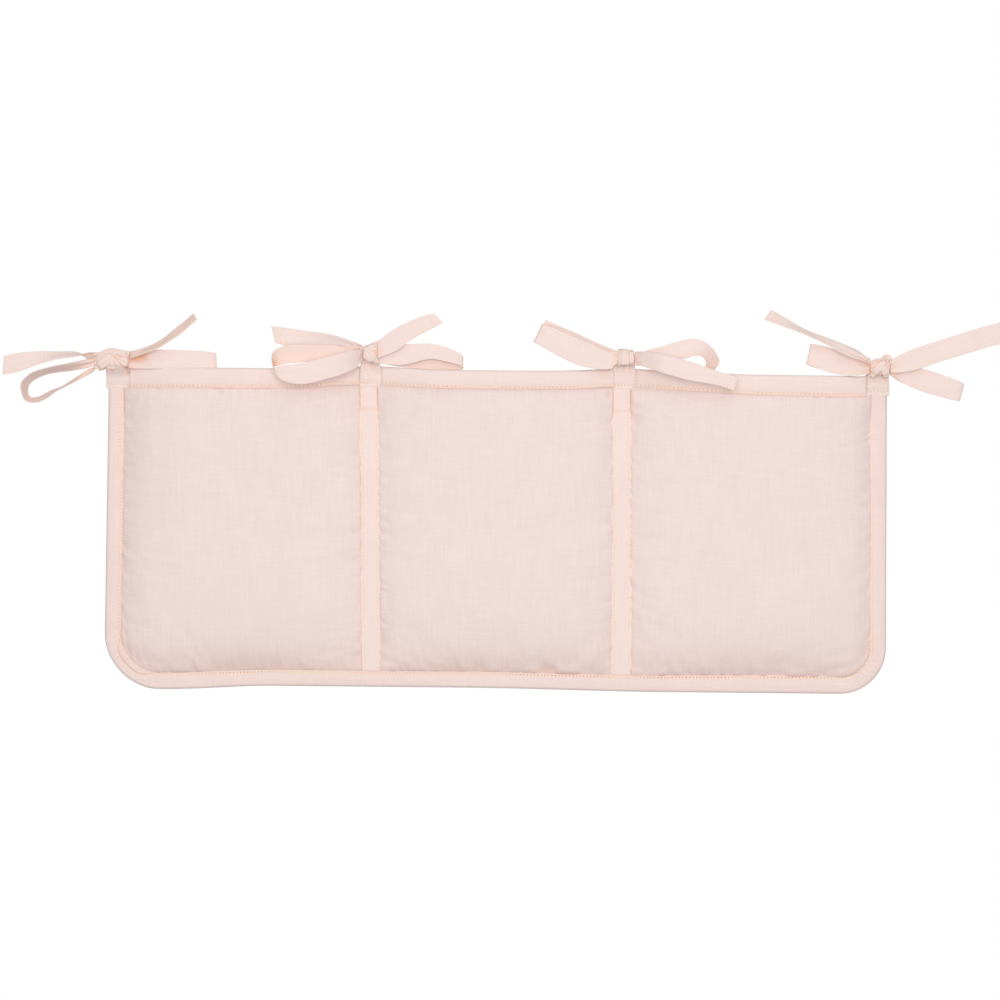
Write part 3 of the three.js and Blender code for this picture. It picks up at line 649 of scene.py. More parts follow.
def make_rear_panel(materials):
    """The quilt behind the pockets, with its four rows of stitches on its back."""
    across = spread(-HALF + 2, HALF - 2, 3)
    down = np.concatenate([[0, 0.012, 0.03], np.linspace(0.05, 0.95, 76), [0.97, 0.988, 1]])
    x = np.broadcast_to(across, (len(down), len(across)))
    z = -2 + down[:, None] * (bottom_at(x, 2) + 2)
    edge = np.minimum(HALF - np.abs(x), np.minimum(-z, z - bottom_at(x, 0))) - BINDING_WIDTH
    divider = np.abs(np.abs(x) - DIVIDER)
    from_row = np.abs(divider - TAPE_WIDTH / 2 + SEAM_INSET)
    seam = np.minimum(from_row, np.maximum(edge, 0))
    filled = puff(edge, 16) * puff(from_row, 14)
    pulled = 1.2 * gathers(z, divider, 31) + 1.2 * gathers(x, np.maximum(edge, 0), 33)
    back = 1.15 * (1 - filled) - pulled * (edge > 0) + 0.5 * (noise(x / 50, z / 60, 35) - 0.5) * filled
    front = REAR_LINING - 0.12 * noise(x / 30, z / 40, 36)
    weave = np.stack([z, x], axis=-1)
    # Painted shade along its seams
    fold = 0.45 * bell(seam, 1.2) * (edge > -1)
    pad = shell(at_depth(x, z, front), at_depth(x, z, back), weave, fold)
    stands_for = ("rear_cover", "rear_batting", "rear_lining")
    panel = piece("rear_panel_quilt", [pad], [materials["lining"]], stands_for)
    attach(panel, "caddy")
    rows = []
    heights = np.linspace(-BAND_HEIGHT - GAP, -PANEL_HEIGHT + BINDING_WIDTH + 1, ROUTE_POINTS)
    backward = np.tile([0.0, 0.0, -1.0], (ROUTE_POINTS, 1))
    for side in (-1, 1):
        for edge_side in (-1, 1):
            place = side * DIVIDER + edge_side * (TAPE_WIDTH / 2 - SEAM_INSET)
            route = np.column_stack([np.full(ROUTE_POINTS, place), heights, np.full(ROUTE_POINTS, 0.95)])
            rows.append(stitches(route, backward))
    rear = thread_piece("rear_divider_stitching", rows, materials)
    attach(rear, "caddy")


def make_rear_top(materials):
    """The binding over the rear panel's top edge, with its stitches."""
    stations = top_stations(-HALF, HALF)
    top, weave, fold, seams = folded(stations, 5.7, 0, BAND_HEIGHT, 41, bulge=0.15)
    strip = cloth(top, FOLD, weave, fold)
    band = piece("rear_top_fold", [strip], [materials["binding"]], ("rear_top_binding",))
    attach(band, "caddy")
    sewn = thread_piece("rear_top_stitching", sewn_rows(top, seams[1:], (1,)), materials)
    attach(sewn, "caddy")


# Edge binding, margin and tapes


def make_margin(materials):
    """The front panel's flat margin under the binding and the tapes, and the thick ends of the mouth band
    under the tabs."""
    parts = []
    stations = edge_stations(3)
    rows = []
    insets = (2.2, 4, 7, 10, BINDING_WIDTH - 0.2)
    for inset in insets:
        rows.append(stations[:, :2] - stations[:, 2:] * inset)
    flat = np.stack(rows, axis=1)
    parts.append(flat_pad(flat, MARGIN_BACK, MARGIN_FRONT))
    heights = np.linspace(-BAND_HEIGHT - 1, -PANEL_HEIGHT + BINDING_WIDTH, ROUTE_POINTS // 2)
    for side in (-1, 1):
        lines = []
        for shift in (GAP - TAPE_WIDTH / 2, -3, 0, 3, TAPE_WIDTH / 2 - GAP):
            lines.append(np.column_stack([side * DIVIDER + shift + drift(side, heights), heights]))
        parts.append(flat_pad(np.stack(lines, axis=1), MARGIN_BACK, MARGIN_FRONT))
    ends = [(-HALF + 2, TAB_WIDTH - HALF)]
    for place in (-DIVIDER, DIVIDER):
        ends.append((place - BAND_END, place + BAND_END))
    ends.append((HALF - TAB_WIDTH, HALF - 2))
    for start, end in ends:
        grid, weave, fold, _ = folded(top_stations(start, end), STACK_FRONT, STACK_BACK, BAND_HEIGHT, 43, 0.1)
        grid[..., 2] = np.minimum(grid[..., 2], band_slope(grid[..., 1]) - FOLD / 2)
        parts.append(cloth(grid, FOLD, weave, fold))
    margin = piece("front_margin_quilt", parts, [materials["cotton"]], ("front_panel_margin",))
    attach(margin, "caddy")


def mouth_ramp(z):
    """How far the trim rises towards the thick mouth band."""
    return 1.4 * ease((z + 30) / 15)


def band_slope(z):
    """Depth of the front of the mouth band where a tab covers its end: it thins towards its lower edge."""
    return STACK_FRONT - 0.2 - 1.8 * ease((-z - 8.5) / 5.5)


def flat_pad(flat, back, front):
    """A thin flat pad over a grid of (place, height), with rounded edges and painted shade all over."""
    depth = np.full(flat.shape[:2], (front + back) / 2)[..., None]
    return cloth(np.concatenate([flat, depth], axis=-1), front - back, flat, 0.3)


def make_binding(materials):
    """The binding round three edges. It is wider at the right, and its spare cloth makes slanting folds round
    its corners."""
    stations = edge_stations()
    upper_right = ease((stations[:, 1:2] + 215) / 170) * (stations[:, :1] > HALF - 5)
    lower_right = ease((stations[:, :1] - 100) / 120) * (stations[:, 3:] < -0.5)
    wider = 3.2 * upper_right + 1.2 * lower_right
    grid, weave, fold, seams = folded(stations, BINDING_FRONT, 0, BINDING_WIDTH, 51, wider=wider)
    turning = np.abs(stations[:, 2] * stations[:, 3])[:, None]
    travel, girth = weave[..., 0], weave[..., 1]
    above_corner = bell(stations[:, 1:2] + 192, 14) * (stations[:, :1] < 0)
    slant = np.sin(2 * math.pi * (travel / 6 + girth / 11 + 0.7 * noise(travel / 15, girth / 9, 55)))
    slant = slant * noise(travel / 11, girth / 30, 56)
    on_front = ease((girth - 0.5) / 2) * ease((14 - girth) / 3)
    grid[..., 2] += 0.75 * slant * ease(turning * 3 + above_corner) * on_front
    grid[..., 2] += mouth_ramp(grid[..., 1]) * ease((16 - girth) / 4)
    tuck = make_tuck(stations, grid, girth)
    parts = [cloth(grid, FOLD, weave, fold), tuck]
    binding = piece("edge_binding_fold", parts, [materials["binding"]], ("edge_binding",))
    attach(binding, "caddy")
    legs = np.flatnonzero(np.abs(stations[:, 3]) < 0.5)
    foot = int(np.argmax(np.diff(legs)))
    cuts = [0, int(legs[foot]), int(legs[foot + 1]), len(stations)]
    rows = []
    for start, end, shade in zip(cuts, cuts[1:], (0.15, 0.75, 0.25)):
        rows += sewn_rows(grid[start:end], seams, (1, 1), shade=shade)
    started = grid[(stations[:, 0] < 0) & (stations[:, 1] > -80)]
    rows += sewn_rows(started, (seams[0] + 3,), (1,), shade=0.25)
    sewn = thread_piece("edge_stitches", rows, materials, ("edge_stitching",))
    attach(sewn, "caddy")


def make_tuck(stations, grid, girth):
    """The spare cloth of the binding's inner edge, laid over in a crescent round the bottom left corner."""
    turning = np.abs(stations[:, 2] * stations[:, 3])
    corner = np.flatnonzero((turning > 0.06) & (stations[:, 0] < 0))
    wide = 5 * ease((turning[corner] - 0.04) * 2.4)
    share = np.linspace(0, 1, 9)
    middle = np.empty((len(corner), len(share), 3))
    for row, station in enumerate(corner):
        for axis in range(3):
            middle[row, :, axis] = np.interp(share * wide[row], girth[station], grid[station, :, axis])
    middle[..., 2] += 0.45 + 0.25 * np.sin(math.pi * share)
    travel = np.broadcast_to(np.arange(len(corner))[:, None] * STATION_STEP, middle.shape[:2])
    weave = np.stack([travel, share * wide[:, None]], axis=-1)
    # Painted shade, strongest along the crescent's edge
    return cloth(middle, 0.4, weave, 0.12 + 0.6 * bell(1 - share, 0.2))


def drift(side, z):
    """How far a tape strays sideways down the panel."""
    down = np.clip(-z / PANEL_HEIGHT, 0, 1)
    if side > 0:
        return -2.7 + 1.8 * down
    return -2.2 + 5.3 * down**0.75


def make_tape(side, materials):
    """A divider tape, with a small tuck across it below the mouth bands, and its two rows of stitches."""
    name = "left_divider" if side < 0 else "right_divider"
    rows = 150
    down = np.linspace(-BAND_HEIGHT + 0.5, -PANEL_HEIGHT + BINDING_WIDTH + 0.4, rows)
    seam = TAPE_WIDTH / 2 - SEAM_INSET
    half = np.array([1, 3, 4.5, seam, 5.75, 6.2, TAPE_WIDTH / 2])
    across = np.concatenate([-half[::-1], half])
    seam_columns = (3, 10)
    z = np.broadcast_to(down[:, None], (len(down), len(across)))
    narrower = 0.12 * np.clip(-z / PANEL_HEIGHT, 0, 1) * (side < 0)
    wide = 1.13 + 0.05 * (noise(z / 40, side, 61) - 0.5) - narrower
    x = side * DIVIDER + drift(side, z) + across * wide + 0.5 * (noise(z / 45, 0, 62 + side) - 0.5)
    from_seam = np.abs(across) - seam
    pulled = bell(from_seam, 0.6)
    crown = np.clip(1 - (across / seam) ** 2, 0, 1)
    depth = BINDING_FRONT - FOLD / 2 + 0.35 * crown - 0.12 * pulled + mouth_ramp(z)
    depth = depth + 0.35 * (noise(z / 13, x / 9, 63 + side) - 0.5) * crown
    tuck = (z + 31.5) / 0.7
    depth = depth + 0.45 * bell(tuck, 1) * ease((5.5 - np.abs(across)) / 2)
    grid = np.stack([x, z, depth], axis=-1)
    weave = np.stack([z, x], axis=-1)
    # Painted shade along its seams and in its tuck
    fold = 0.3 * bell(from_seam, 0.5) + 0.3 * bell(tuck + 1.6, 1)
    strip = cloth(grid, FOLD, weave, fold)
    tape = piece(f"{name}_tape_strip", [strip], [materials["band"]], (f"{name}_tape",))
    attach(tape, "caddy")
    for column, row in zip(seam_columns, ("left", "right")):
        stitched = sewn_rows(grid, (column,), (1,), shade=0.18)
        sewn = thread_piece(f"{name}_stitches_{row}", stitched, materials, (f"{name}_stitching_{row}",))
        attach(sewn, "caddy")


# Pocket fronts


def strayed(x, z):
    """Places on the panel after its tapes have strayed sideways."""
    shift = 0
    for side in (-1, 1):
        from_tape = np.maximum(np.abs(x - side * DIVIDER) - TAPE_WIDTH / 2, 0)
        shift = shift + drift(side, z) * np.exp(-from_tape / 35)
    return x + shift


class Pocket:
    """The shape of one pocket front, from its seams. Its mouth runs between its insets from its sides, and
    its wadding thins towards each side over one of its reaches."""

    def __init__(self, name, middle, insets, seed, reaches=(16, 16)):
        half = POCKET_WIDTH / 2 - GAP
        self.name = name
        self.middle = middle
        self.low, self.high = middle - half, middle + half
        self.start, self.end = self.low + insets[0], self.high - insets[1]
        self.seed = seed
        self.reaches = reaches

    def bottom(self, x):
        """Height of its bottom seam."""
        return bottom_at(x, BINDING_WIDTH + GAP)

    def from_sides(self, x, reach):
        """How far it has risen from its side seams."""
        return puff(np.minimum(x - self.low, self.high - x), reach)

    def under_band(self, z):
        """1 behind the mouth band, and less below it."""
        return 1 - ease((POCKET_SEAT - z) / RELIEF_REACH)

    def back(self, x, z):
        """Depth of the back of the lining."""
        toward_mouth = 1 - ease((POCKET_SEAT - z) / (PANEL_HEIGHT / 2))
        full = BELLY_LIFT + (MOUTH_LIFT - BELLY_LIFT) * toward_mouth
        rise = puff(np.minimum(z, POCKET_SEAT) - self.bottom(x), LIFT_REACH)
        return MARGIN_BACK + MOUTH_RISE * self.under_band(z) + full * self.from_sides(x, LIFT_REACH) * rise

    def batting(self, x, z):
        """Thickness of the wadding and how filled the quilt is there."""
        pressed = SEAM_BATTING + (MOUTH_BATTING - SEAM_BATTING) * self.under_band(z)
        sides = puff(x - self.low, self.reaches[0]) * puff(self.high - x, self.reaches[1])
        fill = sides * puff(z - self.bottom(x), PUFF_REACH) * puff(-BAND_HEIGHT - GAP - z, PUFF_REACH)
        return pressed + (PUFF_BATTING - pressed) * fill, fill

    def cover(self, x, z):
        """Depth of the front of the cover and how filled the quilt is there."""
        thick, fill = self.batting(x, z)
        return self.back(x, z) + thick + 2 * CLOTH + 2 * GAP, fill


def pocket_grid(pocket):
    """Places of the points of a pocket front: a few rows behind its mouth band, and the others below them."""
    across = spread(pocket.low, pocket.high, 1.6)
    behind = np.linspace(0, 1, ROWS_BEHIND_BAND + 1)[:-1]
    down = np.concatenate([behind, 1 + np.linspace(0, 1, ROWS_BELOW_BAND)])[:, None]
    x = np.broadcast_to(across, (len(down), len(across)))
    run = 0.8
    inside = ease((x - pocket.start + run) / run) * ease((pocket.end + run - x) / run)
    top = -TAB_HEIGHT - GAP + (POCKET_TOP + TAB_HEIGHT + GAP) * inside
    foot = pocket.bottom(x)
    share = np.clip(down - 1, 0, 1)
    share = share + 0.06 * np.sin(2 * math.pi * share) / (2 * math.pi)
    z = np.where(down < 1, top + down * (POCKET_SEAT - top), POCKET_SEAT + share * (foot - POCKET_SEAT))
    return x, z


def settled(x, z, front, name):
    """How far the wadding wrinkles a cover that is sewn down along its edges, at each of its points. Cloth is
    simulated on a coarser grid below the mouth band, and its broad swelling is left out."""
    rows = np.unique(np.linspace(ROWS_BEHIND_BAND, x.shape[0] - 1, SIMULATED_ROWS).astype(int))
    columns = np.unique(np.linspace(0, x.shape[1] - 1, SIMULATED_COLUMNS).astype(int))
    start = to_metres(np.stack([x, z, front], axis=-1))[np.ix_(rows, columns)]
    index = np.arange(len(rows) * len(columns)).reshape(len(rows), len(columns))
    mesh = bpy.data.meshes.new(name)
    mesh.from_pydata(start.reshape(-1, 3).tolist(), [], quads_of(index).tolist())
    sheet = added(name, mesh)
    sewn = sheet.vertex_groups.new(name="sewn")
    edge = ring_of(len(rows), len(columns))
    sewn.add(index.ravel().tolist(), HELD_BY_WADDING, "REPLACE")
    sewn.add(index[edge[:, 0], edge[:, 1]].tolist(), 1.0, "REPLACE")
    simulated = sheet.modifiers.new("cloth", "CLOTH").settings
    for setting, value in SIMULATED_CLOTH.items():
        setattr(simulated, setting, value)
    simulated.effector_weights.gravity = 0
    for step in range(1, SIMULATED_STEPS + 1):
        bpy.context.scene.frame_set(step)
    worked = sheet.evaluated_get(bpy.context.evaluated_depsgraph_get()).to_mesh()
    ended = np.empty(start.size)
    worked.vertices.foreach_get("co", ended)
    bpy.data.objects.remove(sheet)
    bpy.data.meshes.remove(mesh)
    bpy.context.scene.frame_set(1)
    moved = (start - ended.reshape(start.shape))[..., 1] / MILLIMETRE
    broad = blurred(moved, 5)
    moved = WRINKLE_LIMIT * np.tanh((moved - broad) / WRINKLE_LIMIT)
    by_column = np.stack([np.interp(np.arange(x.shape[1]), columns, line) for line in moved])
    return np.stack([np.interp(np.arange(x.shape[0]), rows, line, left=0) for line in by_column.T], axis=-1)


def blurred(values, reach):
    """Values averaged with their neighbours on a grid."""
    for axis in (0, 1):
        padded = np.concatenate([np.flip(values, axis), values, np.flip(values, axis)], axis)
        total = sum(np.roll(padded, shift, axis) for shift in range(-reach, reach + 1)) / (2 * reach + 1)
        values = np.take(total, np.arange(values.shape[axis], 2 * values.shape[axis]), axis)
    return values


def pocket_quilt(pocket):
    """Grids of the front and the back of a pocket's quilt, with its weave and its painted shade."""
    x, z = pocket_grid(pocket)
    front, fill = pocket.cover(x, z)
    side_low, side_high = x - pocket.low, pocket.high - x
    foot = z - pocket.bottom(x)
    under = np.maximum(-BAND_HEIGHT - z, 0)
    seed = pocket.seed
    pulled = gathers(z, side_low, seed) + gathers(z, side_high, seed + 2)
    pulled = pulled + 1.3 * gathers(x, foot, seed + 4) + 0.8 * gathers(x, under, seed + 6)
    swell = 1.1 * (noise(x / 48, z / 62, seed + 8) - 0.5) + 0.4 * (noise(x / 19, z / 24, seed + 9) - 0.5)
    drawn = np.clip(noise(x / 13, foot / 16, seed + 12) - 0.5, 0, 1) * bell(foot - 9, 8)
    front = front + 2 * pulled + swell * fill - 1.6 * drawn
    from_side = np.minimum(side_low, side_high)
    inside = np.minimum(from_side, np.minimum(foot, under))
    settling = settled(x, z, front, f"{pocket.name}_simulated")
    front = front + settling * (0.2 + 0.75 * np.exp(-np.maximum(inside, 0) / 12))
    back = pocket.back(x, z) + 0.3 * (noise(x / 30, z / 30, seed + 10) - 0.5) * ease(fill)
    # Painted shade: in the seams, darker towards the foot and the left side where the quilt turns from the
    # light, in the valleys of its gathers and below the mouth band
    nearest = np.minimum(from_side, np.minimum(foot, np.where(under > 0, under, 9)))
    foot_shade = 0.31 * np.exp(-np.maximum(foot, 0) / 22)
    left_side_shade = 0.15 * np.exp(-np.maximum(HALF + x - BINDING_WIDTH, 0) / 14)
    outer = np.maximum(foot_shade, left_side_shade)
    fold = 0.45 * np.exp(-nearest / 0.9) + outer + 0.34 * np.clip(-pulled, 0, 1) + 0.3 * drawn
    fold = fold + 0.16 * np.exp(-under / 4)
    weave = np.stack([z, x], axis=-1)
    under_trim = BINDING_FRONT - 0.6
    front = np.minimum(front, np.where(from_side < 0.1, under_trim + mouth_ramp(z), FAR))
    x = x + SEAM_LAP * (side_high < 0.1) - SEAM_LAP * (side_low < 0.1)
    foot_row = np.arange(len(z))[:, None] == len(z) - 1
    front = np.where(foot_row, np.minimum(front, under_trim), front)
    z = z - SEAM_LAP * foot_row
    place = strayed(x, z)
    return at_depth(place, z, front), at_depth(place, z, back), weave, fold


def pocket_mouth(pocket):
    """The band folded over a pocket's mouth."""
    stations = top_stations(pocket.start, pocket.end)
    place = stations[:, :1]
    front = pocket.cover(stations[:, 0], 0 * stations[:, 0])[0] + GAP + FOLD
    back = pocket.back(stations[:, 0], 0 * stations[:, 0]) - GAP - FOLD
    wider = 2.2 * ease((place - 110) / 150) + 1.5 * ease((-145 - place) / 40)
    return folded(stations, front, back, BAND_HEIGHT, pocket.seed + 20, 0.45, 0.45, wider, seam_shades=(0.2, 0.27))


def make_pocket(pocket, materials):
    """The quilt, mouth band and stitches of a pocket, each in two halves that meet at the pocket's middle."""
    front, back, weave, fold = pocket_quilt(pocket)
    band, band_weave, band_shade, seams = pocket_mouth(pocket)
    name = pocket.name
    layers = (f"{name}_cover", f"{name}_batting", f"{name}_lining")
    middle = front.shape[1] // 2
    centre = len(band) // 2
    for half in ("left", "right"):
        cut = slice(0, middle + 1) if half == "left" else slice(middle, None)
        span = slice(0, centre + 1) if half == "left" else slice(centre, None)
        cut_row = -1 if half == "left" else 0
        pad = shell(front[:, cut], back[:, cut], weave[:, cut], fold[:, cut])
        quilt = piece(f"{name}_quilt_{half}", [pad], [materials["cotton"]], layers)
        hang(quilt)
        strip = cloth(band[span], FOLD, band_weave[span], band_shade[span], square=(cut_row,))
        stands_for = (f"{name}_mouth_binding",)
        mouth = piece(f"{name}_mouth_fold_{half}", [strip], [materials["band"]], stands_for)
        hang(mouth)
        rows = sewn_rows(band[span], seams, (1, 1), MOUTH_PITCH, 0.36)
        sewn = thread_piece(f"{name}_mouth_stitches_{half}", rows, materials, (f"{name}_mouth_stitching",))
        hang(sewn)


def hang(made):
    """Bakes the half's transform into its mesh."""
    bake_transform(made)


# Tie tabs, knots and ribbons


def make_tab(number, place, knot, flare, over, materials):
    """The ribbon's flat end, sewn over the top edge. It gathers as it rises into its knot, or is laid over
    it."""
    z_knot, tall = knot[1], knot[3]
    top = z_knot + over * tall / 2
    rows = 44
    down = np.linspace(0, 1, rows)[:, None]
    half = np.array([0.2, 0.4, 0.6, 0.8, 0.9, 0.97, 1])
    across = np.concatenate([-half[::-1], [0], half])
    ragged = 0.5 * (noise(across * 3, number, 70) - 0.5) * ease((down - 0.9) * 10)
    z = top - down * (TAB_HEIGHT + 0.8 + top) + ragged
    left, right = tab_edges(z, flare, over)
    place_at = place + left + (right - left) * (across + 1) / 2
    pleat = 0.4 * np.cos(across * 10 + number) * ease((z + 7) / 9)
    to_knot = (KNOT_MIDDLE - 2.5 - TAB_FRONT) * ease((z - 1.5) / (z_knot - 1.5))
    if over:
        before_knot = KNOT_MIDDLE - TAB_FRONT + 2.3 + dome(knot, place_at, z)
        to_knot = before_knot * ease((z + 9) / 12) - 1.2 * ease((z - top + 1.5) / 1.5)
    curl = 0.4 * ease((-z - TAB_HEIGHT + 0.8) / 1.6)
    rolled = 0.2 * ease((np.abs(across) - 0.86) / 0.14)
    uneven = 0.25 * (noise(across * 2, down * 4, 71 + number) - 0.5)
    depth = band_slope(z) + 0.45 + to_knot + pleat - curl - rolled + uneven
    grid = np.stack([place_at, z, depth], axis=-1)
    weave = np.stack([z, np.broadcast_to(TAB_WIDTH / 2 * across, z.shape)], axis=-1)
    # Painted shade in the pleat valleys, and along the right edge of a tab laid over its knot
    fold = 0.35 * ease((z + 7) / 9) * np.clip(-np.cos(across * 10 + number), 0, 1)
    if over:
        fold = np.maximum(fold, 0.75 * ease((across - 0.8) / 0.15))
    parts = [cloth(grid, RIBBON_THICKNESS, weave, fold), tab_lap(place, flare, over)]
    stands_for = (f"tie_tab_{number}",)
    tab = piece(f"tie_tab_{number}_ribbon", parts, [materials["ribbon"]], stands_for)
    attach(tab, "caddy")
    stands_for = (f"tie_tab_stitching_{number}",)
    tack = thread_piece(f"tie_tab_{number}_stitches", tab_rows(grid), materials, stands_for)
    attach(tack, "caddy")


def tab_lap(place, flare, over):
    """The part of a tab that goes over the top edge and down behind it, from its rows of height and depth."""
    path = [(-4, TAB_BACK - 0.3), (-2, TAB_BACK - 0.3), (0.1, TAB_BACK - 0.4), (0.9, TAB_BACK - 1.3)]
    path += [(1.0, 6), (0.9, 1.4), (0.4, 0.4)]
    round_edge = smooth_rows(path, 5)
    left, right = tab_edges(-1, flare, over)
    wide = np.linspace(left + 0.3, right - 0.3, 9)
    shape = (len(round_edge), len(wide))
    z = np.broadcast_to(round_edge[:, :1], shape)
    lap = at_depth(np.broadcast_to(place + wide, shape), z, round_edge[:, 1:])
    return cloth(lap, 0.5, lap[..., :2])


def tab_edges(z, flare, over):
    """How far a tab's left and right edges are from its place at a height. They curve where it is laid over
    its knot."""
    lower = np.clip((4 - z) / 17, 0, 1)
    if over:
        lower = 1 - (1 - np.clip((9 - z) / 22, 0, 1)) ** 2
    left = TAB_WIDTH * (flare[0] + (flare[2] - flare[0]) * lower) - 0.7 * lower
    right = TAB_WIDTH * (flare[1] + (flare[3] - flare[1]) * lower) + 0.7 * lower
    return left, right


def tab_rows(grid):
    """The stitches that hold a tab: a row along its foot and one up each side."""
    normal = normals_of(grid)
    front = grid + normal * RIBBON_THICKNESS / 2
    heights = grid[:, grid.shape[1] // 2, 1]
    foot = int(np.argmin(np.abs(heights + TAB_HEIGHT - 2.2)))
    edge = int(np.argmin(np.abs(heights + 2)))
    rows = [stitches(front[foot, 2:-2], normal[foot, 2:-2], 2.2, 0.27, shade=0.45)]
    for column in (2, -3):
        rows.append(stitches(front[edge:foot, column], normal[edge:foot, column], 2.2, 0.24, shade=0.25))
    return rows


def dome(knot, place, height):
    """How far the front of a knot stands before its middle."""
    x, z, width, tall, deep = knot
    away = ((place - x) / (width / 2)) ** 2 + ((height - z) / (tall / 2)) ** 2
    return (deep / 2 - 1.2) * np.sqrt(np.clip(1 - 0.72 * away, 0.05, 1))


def strand(knot, rows, face, seed, lift):
    """A gathered turn of ribbon over the front (1) or the back (-1) of a knot, from rows of its place, height
    and half width as shares of the knot's half width and height."""
    x, z, width, tall, _ = knot
    rows = smooth_rows(rows, 7)
    centre = np.stack([x + rows[:, 0] * width / 2, z + rows[:, 1] * tall / 2], axis=-1)
    ahead = unit(np.gradient(centre, axis=0))
    side = np.stack([-ahead[:, 1], ahead[:, 0]], axis=-1)
    across = np.sin(np.linspace(-0.5, 0.5, 17) * math.pi)
    half = rows[:, 2:] * tall / 2 * across
    flat = centre[:, None] + side[:, None] * half[..., None]
    share = np.linspace(0, 1, len(rows))[:, None]
    held = ease(share / 0.2) * ease((1 - share) / 0.2)
    crown = np.sqrt(np.maximum(1 - across**2, 0))
    pleats = np.cos(across * 6.5 + seed + 1.5 * share)
    round_top = (1.1 + 0.25 * pleats) * crown * held
    rise = dome(knot, flat[..., 0], flat[..., 1]) + round_top - 1.6 * (1 - held) + lift
    front = at_depth(flat[..., 0], flat[..., 1], KNOT_MIDDLE + face * rise)
    back = at_depth(flat[..., 0], flat[..., 1], KNOT_MIDDLE + face * (rise - 0.4 - 1.3 * crown))
    weave = np.stack([half, np.broadcast_to(share * tall * 1.4, half.shape)], axis=-1)
    # Painted shade in the pleat valleys and along the strand's edges
    fold = 0.3 * np.clip(-pleats, 0, 1) * held + 0.3 * np.exp(-(1 - np.abs(across)) / 0.1)
    return shell(front, back, weave, fold)


def make_knot(number, knot, strands, taper, materials):
    """A gathered core that lies along the rail, with turns of the ribbon round it. The last turn of a flat
    knot lies over the others."""
    x, z, width, height, deep = knot
    along = np.linspace(-1, 1, 33)[:, None]
    turns = np.linspace(0, 2 * math.pi, 49)[None, :]
    size = np.sqrt(1 - 0.78 * np.abs(along) ** 2.4) * (1 - taper[0] * ease(-along) - taper[1] * ease(along))
    pleats = np.cos(turns * 7 + 2 * along + number)
    thick = size * (1 + 0.06 * pleats + 0.05 * (noise(turns * 2, along * 2, 80 + number) - 0.5))
    up = z + height / 2 * 0.84 * thick * np.cos(turns)
    depth = KNOT_MIDDLE + (deep / 2 - 1.3) * thick * np.sin(turns)
    core = np.stack([x + width / 2 * along + 0 * turns, up, depth], axis=-1)
    weave = np.stack([core[..., 0], turns * height / 2 + 0 * along], axis=-1)
    # The core has painted shade, deeper in its pleat valleys
    parts = [tube(core, weave, 0.25 + 0.3 * np.clip(-pleats, 0, 1))]
    is_flat = deep < 0.8 * KNOT_DEPTH
    for order, rows in enumerate(strands):
        lift = 0
        if is_flat:
            lift = 0.9 if order == len(strands) - 1 else -0.9
        for face in (1, -1):
            parts.append(strand(knot, rows, face, number + 2 * order, lift))
    stands_for = (f"knot_{number}",)
    made = piece(f"knot_{number}_ribbon", parts, [materials["ribbon"]], stands_for)
    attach(made, "caddy")


def tube(grid, weave, fold):
    """A closed part from rings of points, capped at both ends."""
    rings, size = grid.shape[0], grid.shape[1] - 1
    index = np.arange(rings * size).reshape(rings, size)
    after = np.roll(index, -1, axis=1)
    sides = np.stack([index[:-1], index[1:], after[1:], after[:-1]], axis=-1).reshape(-1, 4)
    middle = rings * size
    points = np.concatenate([grid[:, :-1].reshape(-1, 3), [grid[0, :-1].mean(0), grid[-1, :-1].mean(0)]])
    start, end = np.full(size, middle), np.full(size, middle + 1)
    caps = [np.stack([index[0], after[0], start, start], axis=-1)]
    caps.append(np.stack([after[-1], index[-1], end, end], axis=-1))
    return {
        "points": points,
        "faces": outward(points, np.concatenate([sides, *caps])),
        "weave": np.concatenate([weave[:, :-1].reshape(-1, 2), [[0, 0], [0, 0]]]),
        "fold": np.concatenate([np.broadcast_to(fold, weave.shape[:2])[:, :-1].reshape(-1), [0, 0]]),
        "slot": 0,
    }


def smooth_rows(rows, steps):
    """Points on a smooth curve through rows of numbers, with some steps from each row to the next."""
    rows = np.array(rows, float)
    held = np.vstack([2 * rows[0] - rows[1], rows, 2 * rows[-1] - rows[-2]])
    travel = np.linspace(0, len(rows) - 1, (len(rows) - 1) * steps + 1)
    i = np.minimum(travel.astype(int), len(rows) - 2)
    t = (travel - i)[:, None]
    before, start, end, after = (held[i + k] for k in range(4))
    leave, arrive = (end - before) / 2, (after - start) / 2
    curve = (2 * t**3 - 3 * t**2 + 1) * start + (t**3 - 2 * t**2 + t) * leave
    return curve + (3 * t**2 - 2 * t**3) * end + (t**3 - t**2) * arrive


def shaded_tail(travel, _across):
    """Painted shade on the right tail of bow 1 beyond its knot, where it turns from the light."""
    return 0.27 * ease((travel - 8) / 20)


def shaded_bend(travel, across):
    """Painted shade on the left loop of bow 2 in the crease where it turns back."""
    crease_shade = bell(travel / travel[-1] - 0.555, 0.022)
    return 0.9 * crease_shade * ease((across - 0.25) / 0.6)


def shaded_root(travel, across):
    """Painted shade on the right loop of bow 1 where it leaves its knot."""
    return 1.1 * ease((19 - travel) / 9) * ease((0.85 - across) / 0.5)


